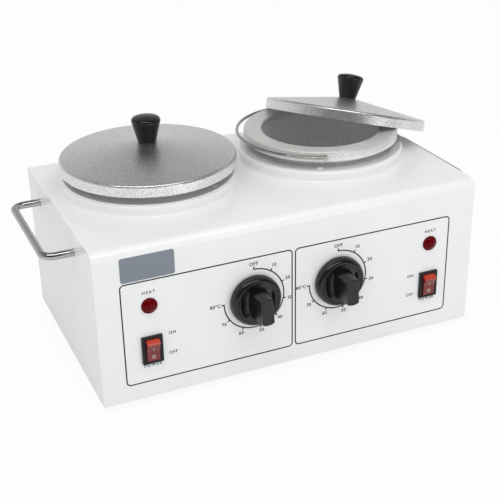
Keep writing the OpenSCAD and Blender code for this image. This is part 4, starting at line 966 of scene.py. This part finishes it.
def rocker_mark(text):
    """White mark in its own frame, upright and facing -Y: a bar, or a ring whose path is
    (0.42 h cos a, 0, 0.5 h sin a)."""
    strip = rectangle(MARK_W, MARK_T)
    if text == "I":
        return sweep([[0, 0, -MARK_H / 2], [0, 0, MARK_H / 2]], strip, (0, -1, 0))
    a = np.linspace(0, 2 * np.pi, 40, endpoint=False)
    path = MARK_H * np.stack([0.42 * np.cos(a), 0 * a, 0.5 * np.sin(a)], -1)
    return sweep(path, strip, (0, -1, 0), ring=True)


class WARMER_OT_switches(bpy.types.Operator):
    """Finish the switches and mark their rockers"""
    bl_idname = "warmer.switches"
    bl_label = "Switches"

    def execute(self, context):
        white = print_ink("white mark", tuple(colours().mark))
        lean = math.radians(ROCKER_TRAVEL)
        valley = Vector((0, -ROCKER_VALLEY * math.cos(lean / 2),
                         -ROCKER_VALLEY * math.sin(lean / 2)))
        up = Vector((0, -math.sin(lean), math.cos(lean)))
        for side in SIDES:
            dress(side + "_switch_housing", housing_black())
            dress(side + "_rocker", rocker_red())
            at = Vector((SWITCH[side].x, FRONT, SWITCH[side].z)) + valley
            above = Matrix.Translation(at + up * MARK_ABOVE) @ Matrix.Rotation(lean, 4, "X")
            below = Matrix.Translation(at - Vector((0, 0, MARK_BELOW)))
            marks = [moved(rocker_mark("I"), above), moved(rocker_mark("O"), below)]
            piece(side + "_rocker_marks", marks, side + "_switch", white)
        return {"FINISHED"}


class WARMER_OT_lamps(bpy.types.Operator):
    """Finish the pilot lamps"""
    bl_idname = "warmer.lamps"
    bl_label = "Lamps"

    def execute(self, context):
        for side in SIDES:
            dress(side + "_lamp_lens", lens_red())
        return {"FINISHED"}


# ---- Studio --------------------------------------------------------------------------

# Floor: half its width and its white; how far it looks lit of itself to the camera, and to
# mirrors behind and before the casing; and the two depths between which that turns
FLOOR_HALF = 4
FLOOR_WHITE = 0.85
FLOOR_SEEN = 0.93
FLOOR_BEHIND = 0.15
FLOOR_BEFORE = 1.0
FLOOR_TURN = (-0.42, -0.24)
# Backdrop that mirrors see, by how far up and by how far back they look: where the turn
# starts, where it ends, and the strength at its start and at its end
BACKDROP_UP = (0.15, 0.75, 0.68, 0.26)
BACKDROP_DEPTH = (-0.6, 0.3, 0.18, 1.0)
# Place and direction of the camera
CAMERA_PLACE = (-0.29256, -0.68249, 0.41897)
CAMERA_WAY = (0.3563, 0.8248, -0.4390)
# Lamps: place, point aimed at, and (length, width)
KEY_LAMP = ((-0.16, -0.42, 1.0), (0, 0, 0.08), (1.25, 0.16))
FILL_LAMP = ((0.34, -0.95, 0.1), (0, 0, 0.1), (0.4, 0.16))


def mirrored(tree, rays):
    """1 for what a mirror or glass sees, 0 for the rest."""
    return sums(tree, "MAXIMUM", rays.outputs["Is Glossy Ray"],
                rays.outputs["Is Transmission Ray"])


def mix_shaders(tree, factor, a, b):
    """Mix of two shaders by a factor."""
    node = tree.nodes.new("ShaderNodeMixShader")
    for source, socket in zip((factor, a, b), node.inputs):
        tree.links.new(source, socket)
    return node.outputs[0]


def lit_white():
    """Floor finish: white diffuse that looks part lit of itself, so that it reads white and
    keeps the shadows. The share differs for the camera, and for mirrors and glass."""
    mat = bpy.data.materials.new("white floor")
    mat.use_nodes = True
    tree = mat.node_tree
    tree.nodes.clear()
    out = tree.nodes.new("ShaderNodeOutputMaterial")
    rough = tree.nodes.new("ShaderNodeBsdfDiffuse")
    rough.inputs["Color"].default_value = (FLOOR_WHITE, FLOOR_WHITE, FLOOR_WHITE, 1)
    glow = tree.nodes.new("ShaderNodeEmission")
    glow.inputs["Strength"].default_value = 1.0
    rays = tree.nodes.new("ShaderNodeLightPath")
    split = tree.nodes.new("ShaderNodeSeparateXYZ")
    tree.links.new(object_coords(tree), split.inputs[0])
    level = ramp(tree, split.outputs[1], *FLOOR_TURN, FLOOR_BEFORE, FLOOR_BEHIND)
    share = sums(tree, "MAXIMUM",
                 sums(tree, "MULTIPLY", rays.outputs["Is Camera Ray"], FLOOR_SEEN),
                 sums(tree, "MULTIPLY", mirrored(tree, rays), level))
    tree.links.new(mix_shaders(tree, share, rough.outputs[0], glow.outputs[0]),
                   out.inputs["Surface"])
    return mat


def room_light(strength):
    """World: white to the camera; to mirrors a pale backdrop low down and behind, darker high
    up and towards the front; to everything else an even light."""
    world = bpy.data.worlds.new("studio")
    world.use_nodes = True
    bpy.context.scene.world = world
    tree = world.node_tree
    tree.nodes.clear()
    out = tree.nodes.new("ShaderNodeOutputWorld")
    split = tree.nodes.new("ShaderNodeSeparateXYZ")
    tree.links.new(tree.nodes.new("ShaderNodeTexCoord").outputs["Generated"], split.inputs[0])
    up = ramp(tree, split.outputs[2], *BACKDROP_UP)
    depth = ramp(tree, split.outputs[1], *BACKDROP_DEPTH)
    backdrop, even, white = (tree.nodes.new("ShaderNodeBackground") for _ in range(3))
    for node in (backdrop, even, white):
        node.inputs["Color"].default_value = (1, 1, 1, 1)
    tree.links.new(sums(tree, "MULTIPLY", up, depth), backdrop.inputs["Strength"])
    even.inputs["Strength"].default_value = strength
    rays = tree.nodes.new("ShaderNodeLightPath")
    unseen = mix_shaders(tree, mirrored(tree, rays), even.outputs[0], backdrop.outputs[0])
    tree.links.new(mix_shaders(tree, rays.outputs["Is Camera Ray"], unseen, white.outputs[0]),
                   out.inputs["Surface"])


def soft_lamp(name, place, aim, size, power):
    """Rectangular area lamp at place that faces aim."""
    data = bpy.data.lights.new(name, "AREA")
    data.shape = "RECTANGLE"
    data.size, data.size_y = size
    data.energy = power
    lamp = bpy.data.objects.new(name, data)
    bpy.context.scene.collection.objects.link(lamp)
    lamp.location = place
    lamp.rotation_euler = (Vector(aim) - Vector(place)).to_track_quat("-Z", "Y").to_euler()


def white_floor():
    """Large flat floor, attached to no body of the object."""
    mesh = bpy.data.meshes.new("floor")
    h = FLOOR_HALF
    mesh.from_pydata([(-h, -h, 0), (h, -h, 0), (h, h, 0), (-h, h, 0)], [], [(0, 1, 2, 3)])
    floor = bpy.data.objects.new("floor", mesh)
    bpy.context.scene.collection.objects.link(floor)
    mesh.materials.append(lit_white())


class WARMER_OT_stage(bpy.types.Operator):
    """Set up the camera, the white floor and the soft light"""
    bl_idname = "warmer.stage"
    bl_label = "Stage"

    def execute(self, context):
        studio = context.scene.warmer_studio
        data = bpy.data.cameras.new("camera")
        data.sensor_fit = "HORIZONTAL"
        data.sensor_width = 36
        data.lens = studio.lens
        data.clip_start = 0.01
        data.dof.use_dof = False
        camera = bpy.data.objects.new("camera", data)
        context.scene.collection.objects.link(camera)
        camera.rotation_euler = (Vector(CAMERA_WAY).to_track_quat("-Z", "Y").to_matrix()
                                 @ Matrix.Rotation(studio.roll, 3, "Z")).to_euler()
        camera.location = CAMERA_PLACE
        context.scene.camera = camera
        white_floor()
        soft_lamp("key", *KEY_LAMP, studio.key)
        soft_lamp("fill", *FILL_LAMP, studio.fill)
        room_light(studio.room)
        context.scene.view_settings.view_transform = "Standard"
        return {"FINISHED"}


# ---- Panel and run -------------------------------------------------------------------

OPERATORS = (WARMER_OT_stage, WARMER_OT_casing, WARMER_OT_inside, WARMER_OT_inlet,
             WARMER_OT_print, WARMER_OT_name_plate, WARMER_OT_handles, WARMER_OT_pots,
             WARMER_OT_lids, WARMER_OT_dials, WARMER_OT_switches, WARMER_OT_lamps)


class WARMER_PT_looks(bpy.types.Panel):
    """Lists the steps and the values that they use"""
    bl_idname = "WARMER_PT_looks"
    bl_label = "Wax warmer"
    bl_space_type = "VIEW_3D"
    bl_region_type = "UI"
    bl_category = "Warmer"

    def draw(self, context):
        scene = context.scene
        for step in OPERATORS:
            self.layout.operator(step.bl_idname)
        for values in (scene.warmer_sizes, scene.warmer_colours, scene.warmer_studio):
            box = self.layout.box()
            for key in values.__annotations__:
                box.prop(values, key)


CLASSES = (WarmerSizes, WarmerColours, WarmerStudio, *OPERATORS, WARMER_PT_looks)


def register():
    """Registers the classes and puts the values on the scene."""
    for cls in CLASSES:
        bpy.utils.register_class(cls)
    bpy.types.Scene.warmer_sizes = bpy.props.PointerProperty(type=WarmerSizes)
    bpy.types.Scene.warmer_colours = bpy.props.PointerProperty(type=WarmerColours)
    bpy.types.Scene.warmer_studio = bpy.props.PointerProperty(type=WarmerStudio)


def unregister():
    """Takes away what register added."""
    del bpy.types.Scene.warmer_studio
    del bpy.types.Scene.warmer_colours
    del bpy.types.Scene.warmer_sizes
    for cls in reversed(CLASSES):
        bpy.utils.unregister_class(cls)


def main():
    """Builds everything in order."""
    register()
    for step in OPERATORS:
        group_name, step_name = step.bl_idname.split(".")
        getattr(getattr(bpy.ops, group_name), step_name)()


if __name__ == "__main__":
    main()
